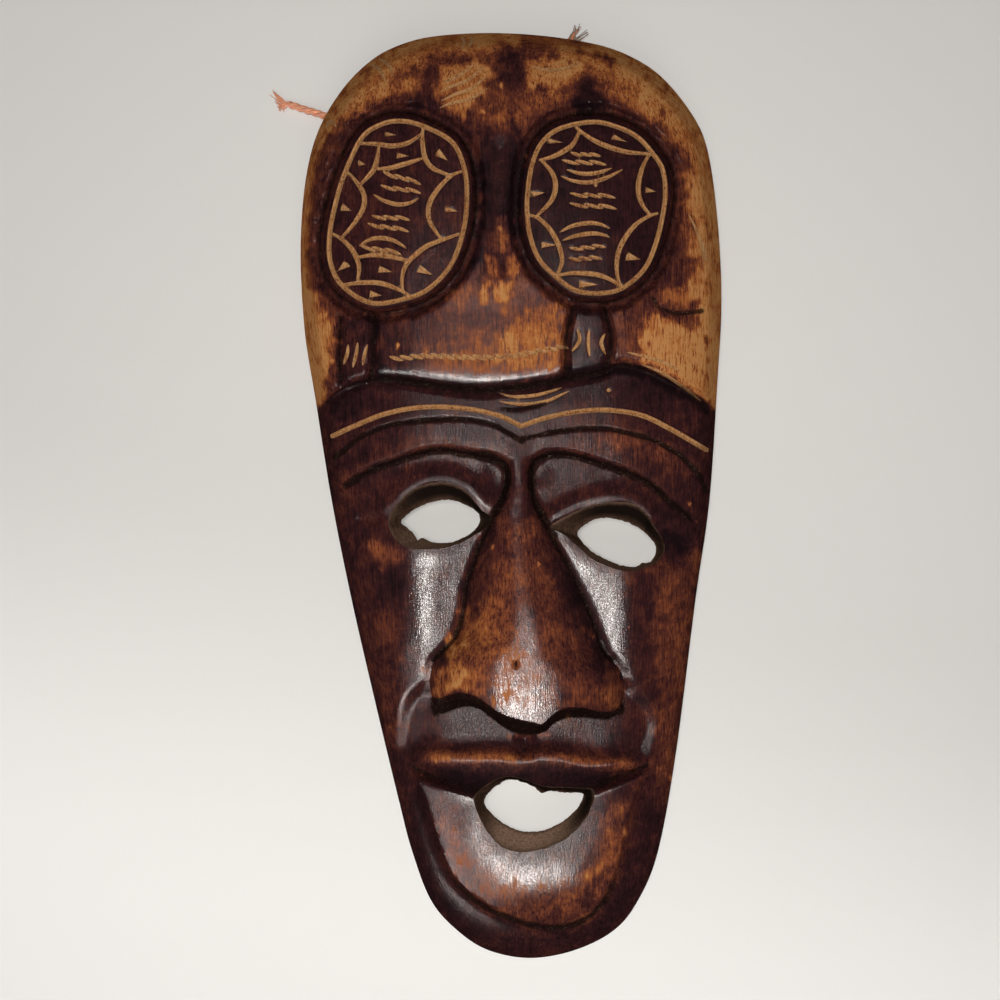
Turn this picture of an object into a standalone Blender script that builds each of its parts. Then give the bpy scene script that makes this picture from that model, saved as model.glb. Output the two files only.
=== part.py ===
"""Tribal mask: a long face mask carved from one piece of wood, with its hanging cord.

The mask lies on its back. +Y points to the top of the head, +Z out of the face, the flat
back rim lies at Z = 0 and the origin is under the middle of the mask. Units are metres.

The carving is drawn on a plan, as a carver draws it on paper: X to the right, Y downwards,
in plan units, as an eye above the mask sees it. lay() puts a plan point at any height on the
mask, by shares of the mask's width and length. Heights of the carving are drawn in steps, of
which the crown has CROWN_STEPS, so they follow CROWN_HEIGHT.
"""

import math

import bmesh
import bpy
import numpy as np
from mathutils import Vector, kdtree
from mathutils.geometry import delaunay_2d_cdt

# Driving dimensions in metres
LENGTH = 0.300
WIDTH = 0.136
CROWN_HEIGHT = 0.038
EDGE_HEIGHT = 0.008
UNDERCUT = 0.0038
BELLY_UNDERCUT_SHARE = 0.35
BELLY_HEIGHT_SHARE = 0.45
RIM_WIDTH = 0.0070
WALL = 0.0085
STROKE_WIDTH = 0.0016
STROKE_DEPTH = 0.0008
CORD_DIAMETER = 0.0025
CORD_CLEARANCE = 0.0005
CORD_HOLE_HEIGHT = 0.0042
CUTTER_START = 0.002
CUTTER_OVERRUN = 0.006
CORD_PAST_WALL = 0.001

# The drawing's height steps: so many make up the crown's height, and the cord's thickness
CROWN_STEPS = 38.0
HEIGHT_STEP = CROWN_HEIGHT / CROWN_STEPS
CORD_STEPS = 2.5
CORD_STEP = CORD_DIAMETER / CORD_STEPS

# The plan: the eye's place over it, its height and the lean of the drawn face
EYE_PLAN = (500.0, 500.0)
EYE_HEIGHT = 0.400
LEAN = math.radians(1.85)

# Spacing of the mesh points in plan units
OUTLINE_STEP = 10.5
LINE_STEP = 12.0
NEAR_STEP = 12.5
OPEN_STEP = 17.5
NEAR_REACH = 17.0
RIM_STEP = 9.0
POINT_GAP = 2.2
GRID_MARGIN = 11.0
GRID_KEEP = 0.62
GRID_CLEARANCE = 0.45
HOLE_MARGIN_SHARE = 0.6
LINE_MARGINS = (2.0, 13.0)
BACK_STEP = 0.0080
HOLLOW_FIRST_RING = 0.0010
HOLLOW_SECOND_RING = 0.0042

OUTLINE = [
    (485, 33), (433, 36.5), (400, 45), (372, 60), (343, 89), (319, 130), (306, 180),
    (301, 250), (305, 330), (316, 400), (332, 500), (352, 600), (375, 700), (399, 800),
    (412, 850), (431, 900), (457, 930), (488, 950), (530, 958), (575, 950), (614, 930),
    (638, 900), (658, 850), (676, 750), (695, 600), (709, 500), (717, 380), (721, 300),
    (717, 220), (707, 150), (690, 112), (659, 75), (625, 54), (590, 43), (540, 35.5),
]

# Head-dress
CAP_EDGE = [
    (288, 432), (318, 410), (335, 394), (350, 385), (372, 379), (400, 379), (440, 385),
    (480, 389), (520, 386), (560, 379), (600, 371), (617, 364), (635, 366), (660, 376),
    (690, 392), (712, 408), (735, 424),
]
CAP_STEP = 4.6
CAP_ROUND = 13.0
CAP_GROOVE_OFFSET = 4.0
CAP_GROOVE_HALF = 6.0
CAP_GROOVE_DEPTH = 1.5
LEFT_RING = [
    (400, 121), (423, 126), (452, 142), (464, 167), (467, 194), (464, 228), (452, 263), (431, 287),
    (408, 298), (372, 303), (343, 286), (331, 263), (330, 235), (336, 203), (346, 171), (362, 138), (380, 125),
]
RIGHT_RING = [
    (593, 122), (617, 127), (637, 137), (652, 153), (662, 169), (665, 192), (662, 217), (655, 245),
    (644, 269), (624, 287), (604, 293), (577, 291), (555, 276), (539, 259), (530, 236), (527, 212),
    (528, 188), (533, 161), (543, 141), (561, 128),
]
OVAL_BORDER = 6.0
MOAT_DEPTH = 3.6
MOAT_WIDTHS = (3.5, 7.0, 15.0)
BOSS_RISE = 1.6
BOSS_ROUND = 5.0
BOSS_SWELL = 0.5
BOSS_SWELL_REACH = 60.0
VALLEY = [(500, 150), (499, 200), (500, 262)]
VALLEY_HALF = 17.0
VALLEY_SHARE = 0.28
LEFT_STEM = {"left": [(341, 318), (339, 350), (341, 381)], "right": [(374, 314), (374, 345), (371, 378)]}
RIGHT_STEM = {"left": [(573, 306), (566, 340), (566, 376)], "right": [(604, 308), (611, 340), (606, 372)]}
STEM_GROOVE_DEPTH = 2.4
STEM_GROOVE_HALF = 6.0
LEFT_ARCS = [
    [(362, 143), (379, 144), (400, 144), (421, 134)],
    [(423, 128), (423, 146), (425, 159), (434, 169), (451, 175)],
    [(462, 171), (447, 182), (434, 196), (428, 212), (433, 227), (441, 239)],
    [(459, 234), (436, 243), (419, 253), (407, 265), (403, 280), (404, 293)],
    [(411, 261), (397, 258), (381, 256), (360, 257)],
    [(411, 295), (388, 286), (370, 283), (344, 284)],
    [(333, 235), (342, 242), (355, 253), (360, 265), (358, 281)],
    [(348, 172), (358, 185), (364, 196), (363, 209), (355, 224), (342, 236)],
    [(378, 146), (377, 160), (374, 169), (362, 182)],
    [(377, 168), (397, 167), (423, 158)],
]
RIGHT_ARCS = [
    [(580, 131), (574, 141), (564, 150), (549, 158), (540, 160)],
    [(576, 130), (585, 136), (601, 145), (621, 152), (648, 154)],
    [(648, 155), (641, 169), (638, 184), (640, 197), (649, 215)],
    [(656, 213), (637, 224), (625, 239), (617, 252), (617, 272), (620, 287)],
    [(622, 286), (609, 280), (597, 275), (577, 272), (557, 275)],
    [(531, 216), (543, 224), (554, 236), (562, 252), (562, 266), (557, 277)],
    [(541, 160), (551, 172), (556, 187), (551, 201), (535, 217)],
]
ARC_WIDTH_SHARE = 0.85
STROKE_TAPER = 0.07

# Brow and forehead lines
LEFT_BROW_LINE = [(333, 436), (357, 425), (385, 414), (415, 408), (445, 407), (475, 410), (500, 416), (521, 426)]
RIGHT_BROW_LINE = [(521, 426), (545, 418), (575, 412), (605, 410), (640, 415), (670, 429), (706, 450)]
LEFT_FROWN_LINE = [
    (335, 458), (354, 442), (371, 432), (390, 425), (416, 421), (450, 419), (479, 421), (500, 428), (522, 442),
]
RIGHT_FROWN_LINE = [
    (522, 439), (549, 433), (577, 429), (605, 429), (626, 433), (647, 438), (668, 448), (682, 458), (696, 472),
    (706, 491),
]
BROW_EDGE = [
    (300, 505), (337, 490), (358, 477), (377, 467), (397, 461), (416, 454), (441, 450), (460, 452),
    (480, 456), (498, 460), (508, 464), (519, 466), (531, 463), (546, 455), (563, 454), (584, 458),
    (605, 465), (626, 472), (640, 478), (654, 487), (668, 500), (682, 511), (700, 530), (730, 560),
]
BROW_STEP = 5.6
BROW_ROUND = 9.0
BROW_CENTRE = 520.0
BROW_REACH = 170.0
BROW_END_SHARE = 0.55
BROW_LINE_SHARE = 1.1
NOSE_ROOT_X = (504, 535)

# Eyes: the rim on the face and the smaller opening that shows through it
LEFT_EYE_RIM = [
    (389, 518), (399, 502), (414, 489), (432, 483), (448, 483), (463, 489), (474, 500), (482, 510),
    (492, 518), (486, 528), (473, 536), (458, 544), (445, 548), (428, 549), (410, 548), (397, 541), (390, 530),
]
LEFT_EYE_HOLE = [
    (401, 522), (409, 513), (419, 507), (432, 502), (444, 500), (456, 501), (468, 506), (476, 511),
    (480, 518), (478, 526), (470, 534), (458, 540), (445, 543), (432, 542), (419, 539), (410, 534), (403, 529),
]
RIGHT_EYE_RIM = [
    (549, 527), (563, 518), (579, 510), (598, 504), (615, 502), (633, 504), (646, 513), (655, 527),
    (662, 539), (664, 551), (656, 562), (641, 569), (626, 571), (609, 567), (591, 558), (576, 545), (561, 533),
]
RIGHT_EYE_HOLE = [
    (577, 534), (583, 526), (594, 520), (603, 518), (615, 519), (628, 523), (640, 529), (649, 537),
    (654, 545), (654, 555), (650, 562), (642, 565), (632, 567), (620, 565), (607, 560), (594, 553), (583, 543),
]
LEFT_EYE_CREASE = [(352, 519), (370, 520), (388, 517)]
RIGHT_EYE_POCKET = [(656, 520), (675, 532), (690, 546), (692, 553), (676, 565), (656, 568), (662, 545)]
CREASE_HALF = 7.0
CREASE_DEPTH = 1.6
GROOVE_TAPER = 0.3
POCKET_DEPTH = 1.8
POCKET_SLOPE = 4.0
LID_RISE = 1.9
LID_AWAY = 5.0
LID_SPREAD = 11.0
LID_LOWER_SHARE = 0.15
LID_TURN = 24.0
LEFT_PIT = (499, 479)
RIGHT_PIT = (538, 473)
PIT_DEPTH = 1.3
PIT_SPREAD = 15.0
LEFT_CHEEK = (414, 612)
RIGHT_CHEEK = (626, 604)
CHEEK_SPREAD = (28.0, 75.0)
CHEEK_RISE = 1.4

# Nose: rows of (plan y, middle x, half width, rise above the cheeks, roundness of the section)
NOSE_ROWS = [
    (440, 519, 15, 5.6, 5.0), (466, 519, 13, 5.6, 5.0), (486, 519, 14, 5.8, 4.2), (503, 517, 18, 6.4, 3.2),
    (516, 517, 24, 7.1, 2.7), (528, 518, 29, 7.9, 2.4), (542, 518, 37, 8.9, 2.2), (564, 520, 47, 10.6, 2.1),
    (586, 522, 56, 12.3, 2.1), (609, 526, 62, 14.1, 2.2), (636, 527, 71, 16.1, 2.4), (650, 523, 80, 17.1, 2.7),
    (660, 523, 89, 17.8, 3.0), (672, 526, 95, 18.5, 3.3), (686, 527, 97, 19.0, 3.5), (705, 528, 94, 19.3, 3.5),
    (740, 528, 92, 19.3, 3.5),
]
NOSE_LOWER_EDGE = [
    (420, 692), (436, 696), (446, 695), (457, 692), (472, 694), (485, 702), (499, 712), (514, 718), (533, 722),
    (542, 724), (552, 715), (564, 708), (581, 707), (600, 711), (613, 710), (622, 702), (636, 692),
]
NOSE_FOOT = [
    (420, 716), (440, 714), (453, 709), (466, 706), (480, 709), (495, 720), (512, 731), (533, 734),
    (545, 731), (553, 723), (568, 717), (590, 717), (606, 719), (616, 715), (636, 710),
]
NOSE_ROOT_FADE = 12.0
NOSE_SIDE_GROOVE = 0.9
NOSE_SIDE_SHARP = 12.0
NOSE_SIDE_ROWS = (500.0, 700.0)
NOSE_SIDE_FADE = 20.0

# Mouth and chin
MUZZLE = [
    (436, 690), (424, 686), (412, 694), (404, 708), (400, 730), (399, 748), (410, 760), (424, 753),
    (456, 755), (495, 755), (520, 757), (543, 753), (562, 755), (590, 761), (619, 761), (642, 758),
    (650, 742), (654, 724), (648, 706), (638, 692), (626, 684), (600, 690), (530, 700),
]
MUZZLE_DEPTH = 2.6
MUZZLE_OUTER = 7.0
MUZZLE_SLOPE = 17.0
MUZZLE_FOLDS = (slice(0, 6), slice(16, 21))
LIP_RIDGE = [
    (410, 765), (424, 757), (456, 757), (495, 756), (520, 758), (543, 755), (562, 757), (590, 762),
    (619, 763), (647, 765),
]
LIP_RIDGE_RISE = 2.9
LIP_FOOT = [
    (410, 765), (424, 773), (437, 778), (466, 786), (500, 792), (530, 795), (560, 792), (590, 786),
    (619, 776), (647, 765),
]
LIP_FOOT_DEPTH = 1.8
LIP_ROUNDNESS = 1.9
LIP_END_REACH = 34.0
LIP_END_MARGIN = 4.0
LIP_ABOVE = 12.0
LIP_BELOW = 6.0
PHILTRUM = [(524, 732), (526, 745), (521, 758)]
PHILTRUM_HALF = 12.0
PHILTRUM_DEPTH = 2.0
CHIN_PAD = [
    (404, 764), (412, 769), (425, 799), (435, 829), (445, 858), (459, 882), (483, 902), (506, 914),
    (530, 922), (554, 925), (578, 920), (594, 908), (607, 890), (617, 863), (623, 839), (631, 809),
    (640, 780), (652, 764), (620, 752), (530, 748), (440, 750),
]
CHIN_PAD_CORNER = 18
CHIN_PAD_RISE = 4.2
CHIN_PAD_SLOPE = 11.0
CHIN_SWELL = 1.3
CHIN_SWELL_PLACE = (530, 892)
CHIN_SWELL_SPREAD = (62.0, 30.0)
MOUTH_RIM = [
    (474, 797), (481, 789), (491, 782), (503, 777), (516, 777), (529, 781), (543, 786), (562, 787),
    (582, 788), (594, 790), (592, 806), (583, 822), (568, 837), (549, 847), (533, 851), (517, 852),
    (499, 845), (484, 826), (476, 809),
]
MOUTH_HOLE = [
    (484, 801), (490, 792), (498, 785), (506, 781), (516, 780), (528, 784), (540, 792), (552, 792),
    (568, 792), (582, 794), (580, 804), (573, 813), (562, 822), (548, 829), (534, 832), (516, 830),
    (503, 823), (493, 815), (487, 808),
]

# Heights along the plan's y of the smooth dome under the carving, in height steps,
# and how far in from the outline the dome reaches them, in plan units
DOME_ROWS = [
    (33, 26.8, 130), (150, 27.8, 130), (300, 28.0, 125), (420, 27.6, 115), (470, 27.4, 110),
    (540, 26.9, 95), (640, 26.0, 85), (720, 25.2, 80), (760, 24.2, 78), (800, 22.4, 78),
    (850, 20.8, 78), (958, 17.0, 74),
]
DOME_SHAPE = (2.3, 2.1)
HOLLOW_SHAPE = (3.6, 2.5)
HOLLOW_REACH = 0.030
HOLLOW_CAP_Y = 450.0
HOLLOW_CAP_SPREAD = 60.0
HOLLOW_CAP_RISE = 2.64
SETTLE_ROUNDS = 8
CARVING_FADE = 14.0

# Hanging cord: the two places where it comes out of the side, and its loose way between them,
# as plan x, plan y and height in cord steps
LEFT_CORD_HOLE = (327, 115)
TOP_CORD_HOLE = (573, 40)
CORD_TAIL_LEFT = [(286, 103, 1.6), (303, 109, 1.9)]
CORD_INSIDE = [(385, 148, 2.2), (412, 176, 1.8), (450, 190, 1.8), (490, 178, 1.8), (526, 146, 1.8), (553, 108, 2.2)]
CORD_TAIL_TOP = [(578, 29, 3.6)]
CORD_POINT_SPACING = 2.4
CORD_HOLE_SIDES = 14


def spline(points, closed=False, step=LINE_STEP):
    """Return a smooth line through plan points, with a point about every step."""
    anchors = np.array(points, float)
    if closed:
        anchors = np.vstack((anchors[-1:], anchors, anchors[:2]))
    else:
        first = 2 * anchors[0] - anchors[1]
        last = 2 * anchors[-1] - anchors[-2]
        anchors = np.vstack((first, anchors, last))
    fine = []
    shares = np.linspace(0, 1, 12, endpoint=False)[:, None]
    for before, start, end, after in zip(anchors, anchors[1:], anchors[2:], anchors[3:]):
        bend = 2 * before - 5 * start + 4 * end - after
        twist = 3 * (start - end) + after - before
        fine.append(start + 0.5 * shares * (end - before + shares * (bend + shares * twist)))
    fine = np.vstack(fine + [anchors[-2:-1]])
    return walk(fine, step, closed)


def walk(line, step, closed):
    """Return points spread evenly along a line; a closed line doesn't repeat its first point."""
    travelled = np.concatenate(([0], np.cumsum(np.linalg.norm(np.diff(line, axis=0), axis=1))))
    count = max(2, round(travelled[-1] / step))
    places = np.linspace(0, travelled[-1], count + 1)
    if closed:
        places = places[:-1]
    return np.column_stack([np.interp(places, travelled, axis) for axis in line.T])


def distance(points, line):
    """Return each point's distance to a line and the share of the line's length it is nearest to."""
    nearest = np.full(len(points), np.inf)
    share_along = np.zeros(len(points))
    lengths = np.linalg.norm(np.diff(line, axis=0), axis=1)
    travelled = 0.0
    for start, end, length in zip(line, line[1:], lengths):
        span = end - start
        share = np.clip((points - start) @ span / (length * length), 0, 1)
        gap = np.linalg.norm(points - start - share[:, None] * span, axis=1)
        nearer = gap < nearest
        nearest[nearer] = gap[nearer]
        share_along[nearer] = (travelled + share[nearer] * length) / lengths.sum()
        travelled += length
    return nearest, share_along


def contains(points, loop):
    """Return which points lie inside a closed loop."""
    inside = np.zeros(len(points), bool)
    x, y = points.T
    for (x1, y1), (x2, y2) in zip(loop, np.roll(loop, -1, axis=0)):
        if y1 == y2:
            continue
        crossing = x1 + (y - y1) * (x2 - x1) / (y2 - y1)
        inside ^= ((y1 > y) != (y2 > y)) & (x < crossing)
    return inside


def depth_inside(points, loop):
    """Return the distance to a closed loop, positive inside it and negative outside."""
    gap = distance(points, np.vstack((loop, loop[:1])))[0]
    return np.where(contains(points, loop), gap, -gap)


def height_above(points, line):
    """Return the distance to a line that crosses the whole mask, positive on the head's side."""
    gap = distance(points, line)[0]
    level = np.interp(points[:, 0], line[:, 0], line[:, 1])
    return np.where(points[:, 1] < level, gap, -gap)


def ease(value):
    """Return a smooth step from 0 to 1 as value goes from 0 to 1."""
    share = np.clip(value, 0, 1)
    return share * share * (3 - 2 * share)


def rounded(value):
    """Return a quarter-round step: steep at 0, level at 1."""
    share = np.clip(value, 0, 1)
    return np.sqrt(1 - (1 - share) ** 2)


def hill(value):
    """Return a bell shape that is 1 at 0 and nearly 0 beyond 2."""
    return np.exp(-value * value)


def groove(points, line, half_width, depth, end_taper=0.0):
    """Return the cut of a V groove along a line, shallower towards its ends if they taper."""
    gap, along = distance(points, line)
    cut = depth * np.clip(1 - gap / half_width, 0, 1)
    if end_taper:
        cut = cut * ease(along / end_taper) * ease((1 - along) / end_taper)
    return -cut


class Plan:
    """The smooth lines of the drawing, worked out once from the hand-set points."""

    def __init__(self):
        self.outline = spline(OUTLINE, closed=True, step=OUTLINE_STEP)
        self.cap_edge = spline(CAP_EDGE)
        self.rings = [spline(ring, closed=True) for ring in (LEFT_RING, RIGHT_RING)]
        self.arcs = [spline(arc) for arc in LEFT_ARCS + RIGHT_ARCS]
        self.stems = [spline(stem[side]) for stem in (LEFT_STEM, RIGHT_STEM) for side in ("left", "right")]
        self.brow_lines = [spline(LEFT_BROW_LINE), spline(RIGHT_BROW_LINE)]
        self.frown_lines = [spline(LEFT_FROWN_LINE), spline(RIGHT_FROWN_LINE)]
        self.brow_edge = spline(BROW_EDGE)
        self.rims = [spline(rim, closed=True, step=RIM_STEP) for rim in (LEFT_EYE_RIM, RIGHT_EYE_RIM, MOUTH_RIM)]
        self.holes = [matching_loop(hole, rim) for hole, rim in
                      zip((LEFT_EYE_HOLE, RIGHT_EYE_HOLE, MOUTH_HOLE), self.rims)]
        self.nose_edge = spline(NOSE_LOWER_EDGE)
        self.nose_foot = spline(NOSE_FOOT)
        self.lip_ridge = spline(LIP_RIDGE)
        self.lip_foot = spline(LIP_FOOT)
        self.chin_pad = spline(CHIN_PAD, closed=True)
        self.muzzle = spline(MUZZLE, closed=True)


def matching_loop(points, rim):
    """Return a closed line with as many points as a rim, starting nearest to the rim's start."""
    fine = spline(points, closed=True, step=1.0)
    length = np.linalg.norm(np.diff(np.vstack((fine, fine[:1])), axis=0), axis=1).sum()
    loop = walk(np.vstack((fine, fine[:1])), length / len(rim), True)
    loop = loop[:len(rim)]
    start = int(np.argmin(np.linalg.norm(loop - rim[0], axis=1)))
    return np.roll(loop, -start, axis=0)


def straighten(points):
    """Turn plan points upright about the eye, with y upwards."""
    x = np.asarray(points, float)[:, 0] - EYE_PLAN[0]
    y = EYE_PLAN[1] - np.asarray(points, float)[:, 1]
    return np.column_stack((x * math.cos(LEAN) + y * math.sin(LEAN), y * math.cos(LEAN) - x * math.sin(LEAN)))


class Layout:
    """How plan points land on the mask: the outline fills WIDTH by LENGTH at EDGE_HEIGHT."""

    def __init__(self, outline):
        upright = straighten(outline)
        low, high = upright.min(axis=0), upright.max(axis=0)
        self.scale = np.array((WIDTH, LENGTH)) / (high - low)
        self.eye = -(low + high) / 2 * self.scale

    def lay(self, points, heights):
        """Return the places on the mask of plan points at heights in metres."""
        spread = (EYE_HEIGHT - heights) / (EYE_HEIGHT - EDGE_HEIGHT)
        flat = straighten(points) * self.scale * np.reshape(spread, (-1, 1)) + self.eye
        return np.column_stack((flat, np.broadcast_to(heights, len(flat))))


def nose_shape(points):
    """Return how far each point is across the nose, as a share of its half width, its rise and roundness."""
    rows = np.array(NOSE_ROWS, float)
    middle, half, rise, roundness = (np.interp(points[:, 1], rows[:, 0], column) for column in rows.T[1:])
    return np.abs(points[:, 0] - middle) / half, rise, roundness


def nose_relief(points, plan):
    """Return the nose's rise: a ridge with rounded sides, cut off below by a steep underside."""
    across, rise, roundness = nose_shape(points)
    rise = rise * ease((points[:, 1] - NOSE_ROWS[0][0]) / NOSE_ROOT_FADE)
    body = rise * np.clip(1 - across ** roundness, 0, 1)
    return body * (1 - under_nose(points, plan))


def under_nose(points, plan):
    """Return how far down the nose's underside each point is, 0 on the nose and 1 below it."""
    top = np.interp(points[:, 0], plan.nose_edge[:, 0], plan.nose_edge[:, 1])
    foot = np.interp(points[:, 0], plan.nose_foot[:, 0], plan.nose_foot[:, 1])
    return np.clip((points[:, 1] - top) / (foot - top), 0, 1)


def head_dress_relief(points, plan):
    """Return the head-dress: a raised cap with two oval bosses in moats, on two short stems."""
    over_edge = height_above(points, plan.cap_edge)
    relief = CAP_STEP * rounded((over_edge + 1.0) / CAP_ROUND)
    relief += groove(points, plan.cap_edge + (0, CAP_GROOVE_OFFSET), CAP_GROOVE_HALF, CAP_GROOVE_DEPTH)
    moat = -groove(points, np.array(VALLEY, float), VALLEY_HALF, VALLEY_SHARE)
    for ring in plan.rings:
        outside = -depth_inside(points, ring) - OVAL_BORDER
        wall = np.clip(outside / MOAT_WIDTHS[0], 0, 1)
        bank = ease((outside - MOAT_WIDTHS[1]) / (MOAT_WIDTHS[2] - MOAT_WIDTHS[1]))
        boss = BOSS_RISE * rounded(-outside / BOSS_ROUND) + BOSS_SWELL * ease(-outside / BOSS_SWELL_REACH)
        relief += np.where(outside < 0, boss, 0)
        moat = np.maximum(moat, wall * (1 - bank))
    relief -= MOAT_DEPTH * moat
    for stem in plan.stems:
        relief += groove(points, stem, STEM_GROOVE_HALF, STEM_GROOVE_DEPTH)
    return relief


def brow_relief(points, plan):
    """Return the brow and forehead, which stand above the eye sockets."""
    centre = hill((points[:, 0] - BROW_CENTRE) / BROW_REACH)
    over_edge = height_above(points, plan.brow_edge)
    share = BROW_END_SHARE + (1 - BROW_END_SHARE) * centre
    return BROW_STEP * share * rounded((over_edge + 1.0) / BROW_ROUND)


def scored_relief(points, plan, layout):
    """Return the scored lines: brow lines, frown lines, and the rings and arcs of the ovals."""
    half = STROKE_WIDTH / 2 / layout.scale[0]
    depth = STROKE_DEPTH / HEIGHT_STEP
    relief = np.zeros(len(points))
    for line in plan.brow_lines:
        relief = np.minimum(relief, groove(points, line, half * BROW_LINE_SHARE, depth, STROKE_TAPER))
    for line in plan.frown_lines:
        relief = np.minimum(relief, groove(points, line, half, depth, STROKE_TAPER))
    for ring in plan.rings:
        closed = np.vstack((ring, ring[:1]))
        relief = np.minimum(relief, groove(points, closed, half, depth))
    for line in plan.arcs:
        relief = np.minimum(relief, groove(points, line, half * ARC_WIDTH_SHARE, depth))
    return relief


def eye_relief(points, plan):
    """Return the lids round the eye holes, the pits beside the nose and the outer corners."""
    relief = np.zeros(len(points))
    for rim in plan.rims[:2]:
        away = -depth_inside(points, rim)
        upper = ease((rim[:, 1].mean() + LID_AWAY - points[:, 1]) / LID_TURN)
        share = LID_LOWER_SHARE + (1 - LID_LOWER_SHARE) * upper
        relief += LID_RISE * hill((away - LID_AWAY) / LID_SPREAD) * share
    for pit in (LEFT_PIT, RIGHT_PIT):
        relief -= PIT_DEPTH * hill(np.linalg.norm(points - pit, axis=1) / PIT_SPREAD)
    relief += groove(points, np.array(LEFT_EYE_CREASE, float), CREASE_HALF, CREASE_DEPTH, GROOVE_TAPER)
    pocket = depth_inside(points, np.array(RIGHT_EYE_POCKET, float))
    relief -= POCKET_DEPTH * ease((pocket / POCKET_SLOPE + 1) / 2)
    for cheek in (LEFT_CHEEK, RIGHT_CHEEK):
        offset = (points - cheek) / CHEEK_SPREAD
        relief += CHEEK_RISE * hill(np.linalg.norm(offset, axis=1))
    return relief


def mouth_relief(points, plan):
    """Return the hollow under the nose, the lip ridge, the lip's slope and the raised chin pad."""
    on_nose = (nose_shape(points)[0] < 1) * (1 - under_nose(points, plan))
    sunk = ease((depth_inside(points, plan.muzzle) + MUZZLE_OUTER) / MUZZLE_SLOPE)
    relief = -MUZZLE_DEPTH * sunk * (1 - on_nose)
    ridge_y = np.interp(points[:, 0], plan.lip_ridge[:, 0], plan.lip_ridge[:, 1])
    foot_y = np.interp(points[:, 0], plan.lip_foot[:, 0], plan.lip_foot[:, 1])
    left, right = LIP_RIDGE[0][0], LIP_RIDGE[-1][0]
    from_end = np.minimum(points[:, 0] - left, right - points[:, 0]) + LIP_END_MARGIN
    span = ease(from_end / LIP_END_REACH)
    down = (points[:, 1] - ridge_y) / np.maximum(foot_y - ridge_y, 1.0)
    slope = LIP_RIDGE_RISE - (LIP_RIDGE_RISE + LIP_FOOT_DEPTH) * np.clip(down, 0, 1) ** LIP_ROUNDNESS
    above = LIP_RIDGE_RISE * hill((ridge_y - points[:, 1]) / LIP_ABOVE)
    below = -LIP_FOOT_DEPTH * hill((points[:, 1] - foot_y) / LIP_BELOW)
    relief += span * np.where(down < 0, above, np.where(down > 1, below, slope))
    relief += groove(points, np.array(PHILTRUM, float), PHILTRUM_HALF, PHILTRUM_DEPTH, GROOVE_TAPER)
    pad = depth_inside(points, plan.chin_pad)
    step = 1 - rounded(-pad / CHIN_PAD_SLOPE)
    relief += CHIN_PAD_RISE * step * ease((points[:, 1] - foot_y) / CHIN_PAD_SLOPE)
    from_swell = np.linalg.norm((points - CHIN_SWELL_PLACE) / CHIN_SWELL_SPREAD, axis=1)
    relief += CHIN_SWELL * hill(from_swell) * step
    return relief


def side_groove_relief(points):
    """Return the narrow grooves along the nose's two sides."""
    first, last = NOSE_SIDE_ROWS
    on_face = ease((points[:, 1] - first) / NOSE_SIDE_FADE) * ease((last - points[:, 1]) / NOSE_SIDE_FADE)
    return -NOSE_SIDE_GROOVE * hill((nose_shape(points)[0] - 1.0) * NOSE_SIDE_SHARP) * on_face


def carved_height(points, plan, layout):
    """Return the height of the carved face at plan points, in metres."""
    rows = np.array(DOME_ROWS, float)
    inside = np.maximum(depth_inside(points, plan.outline), 0)
    reach = np.interp(points[:, 1], rows[:, 0], rows[:, 2])
    crown = np.interp(points[:, 1], rows[:, 0], rows[:, 1])
    share = np.clip(inside / reach, 0, 1)
    dome = (1 - (1 - share) ** DOME_SHAPE[0]) ** (1 / DOME_SHAPE[1])
    relief = np.maximum(brow_relief(points, plan), nose_relief(points, plan))
    relief += side_groove_relief(points)
    relief += head_dress_relief(points, plan)
    relief += eye_relief(points, plan) + mouth_relief(points, plan)
    relief += scored_relief(points, plan, layout)
    relief *= ease(inside / CARVING_FADE)
    return EDGE_HEIGHT + (crown * HEIGHT_STEP - EDGE_HEIGHT) * dome + relief * HEIGHT_STEP


def beside(line, offset):
    """Return a line moved sideways by an offset."""
    along = np.gradient(line, axis=0)
    along /= np.linalg.norm(along, axis=1)[:, None]
    return line + offset * np.column_stack((-along[:, 1], along[:, 0]))


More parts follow.
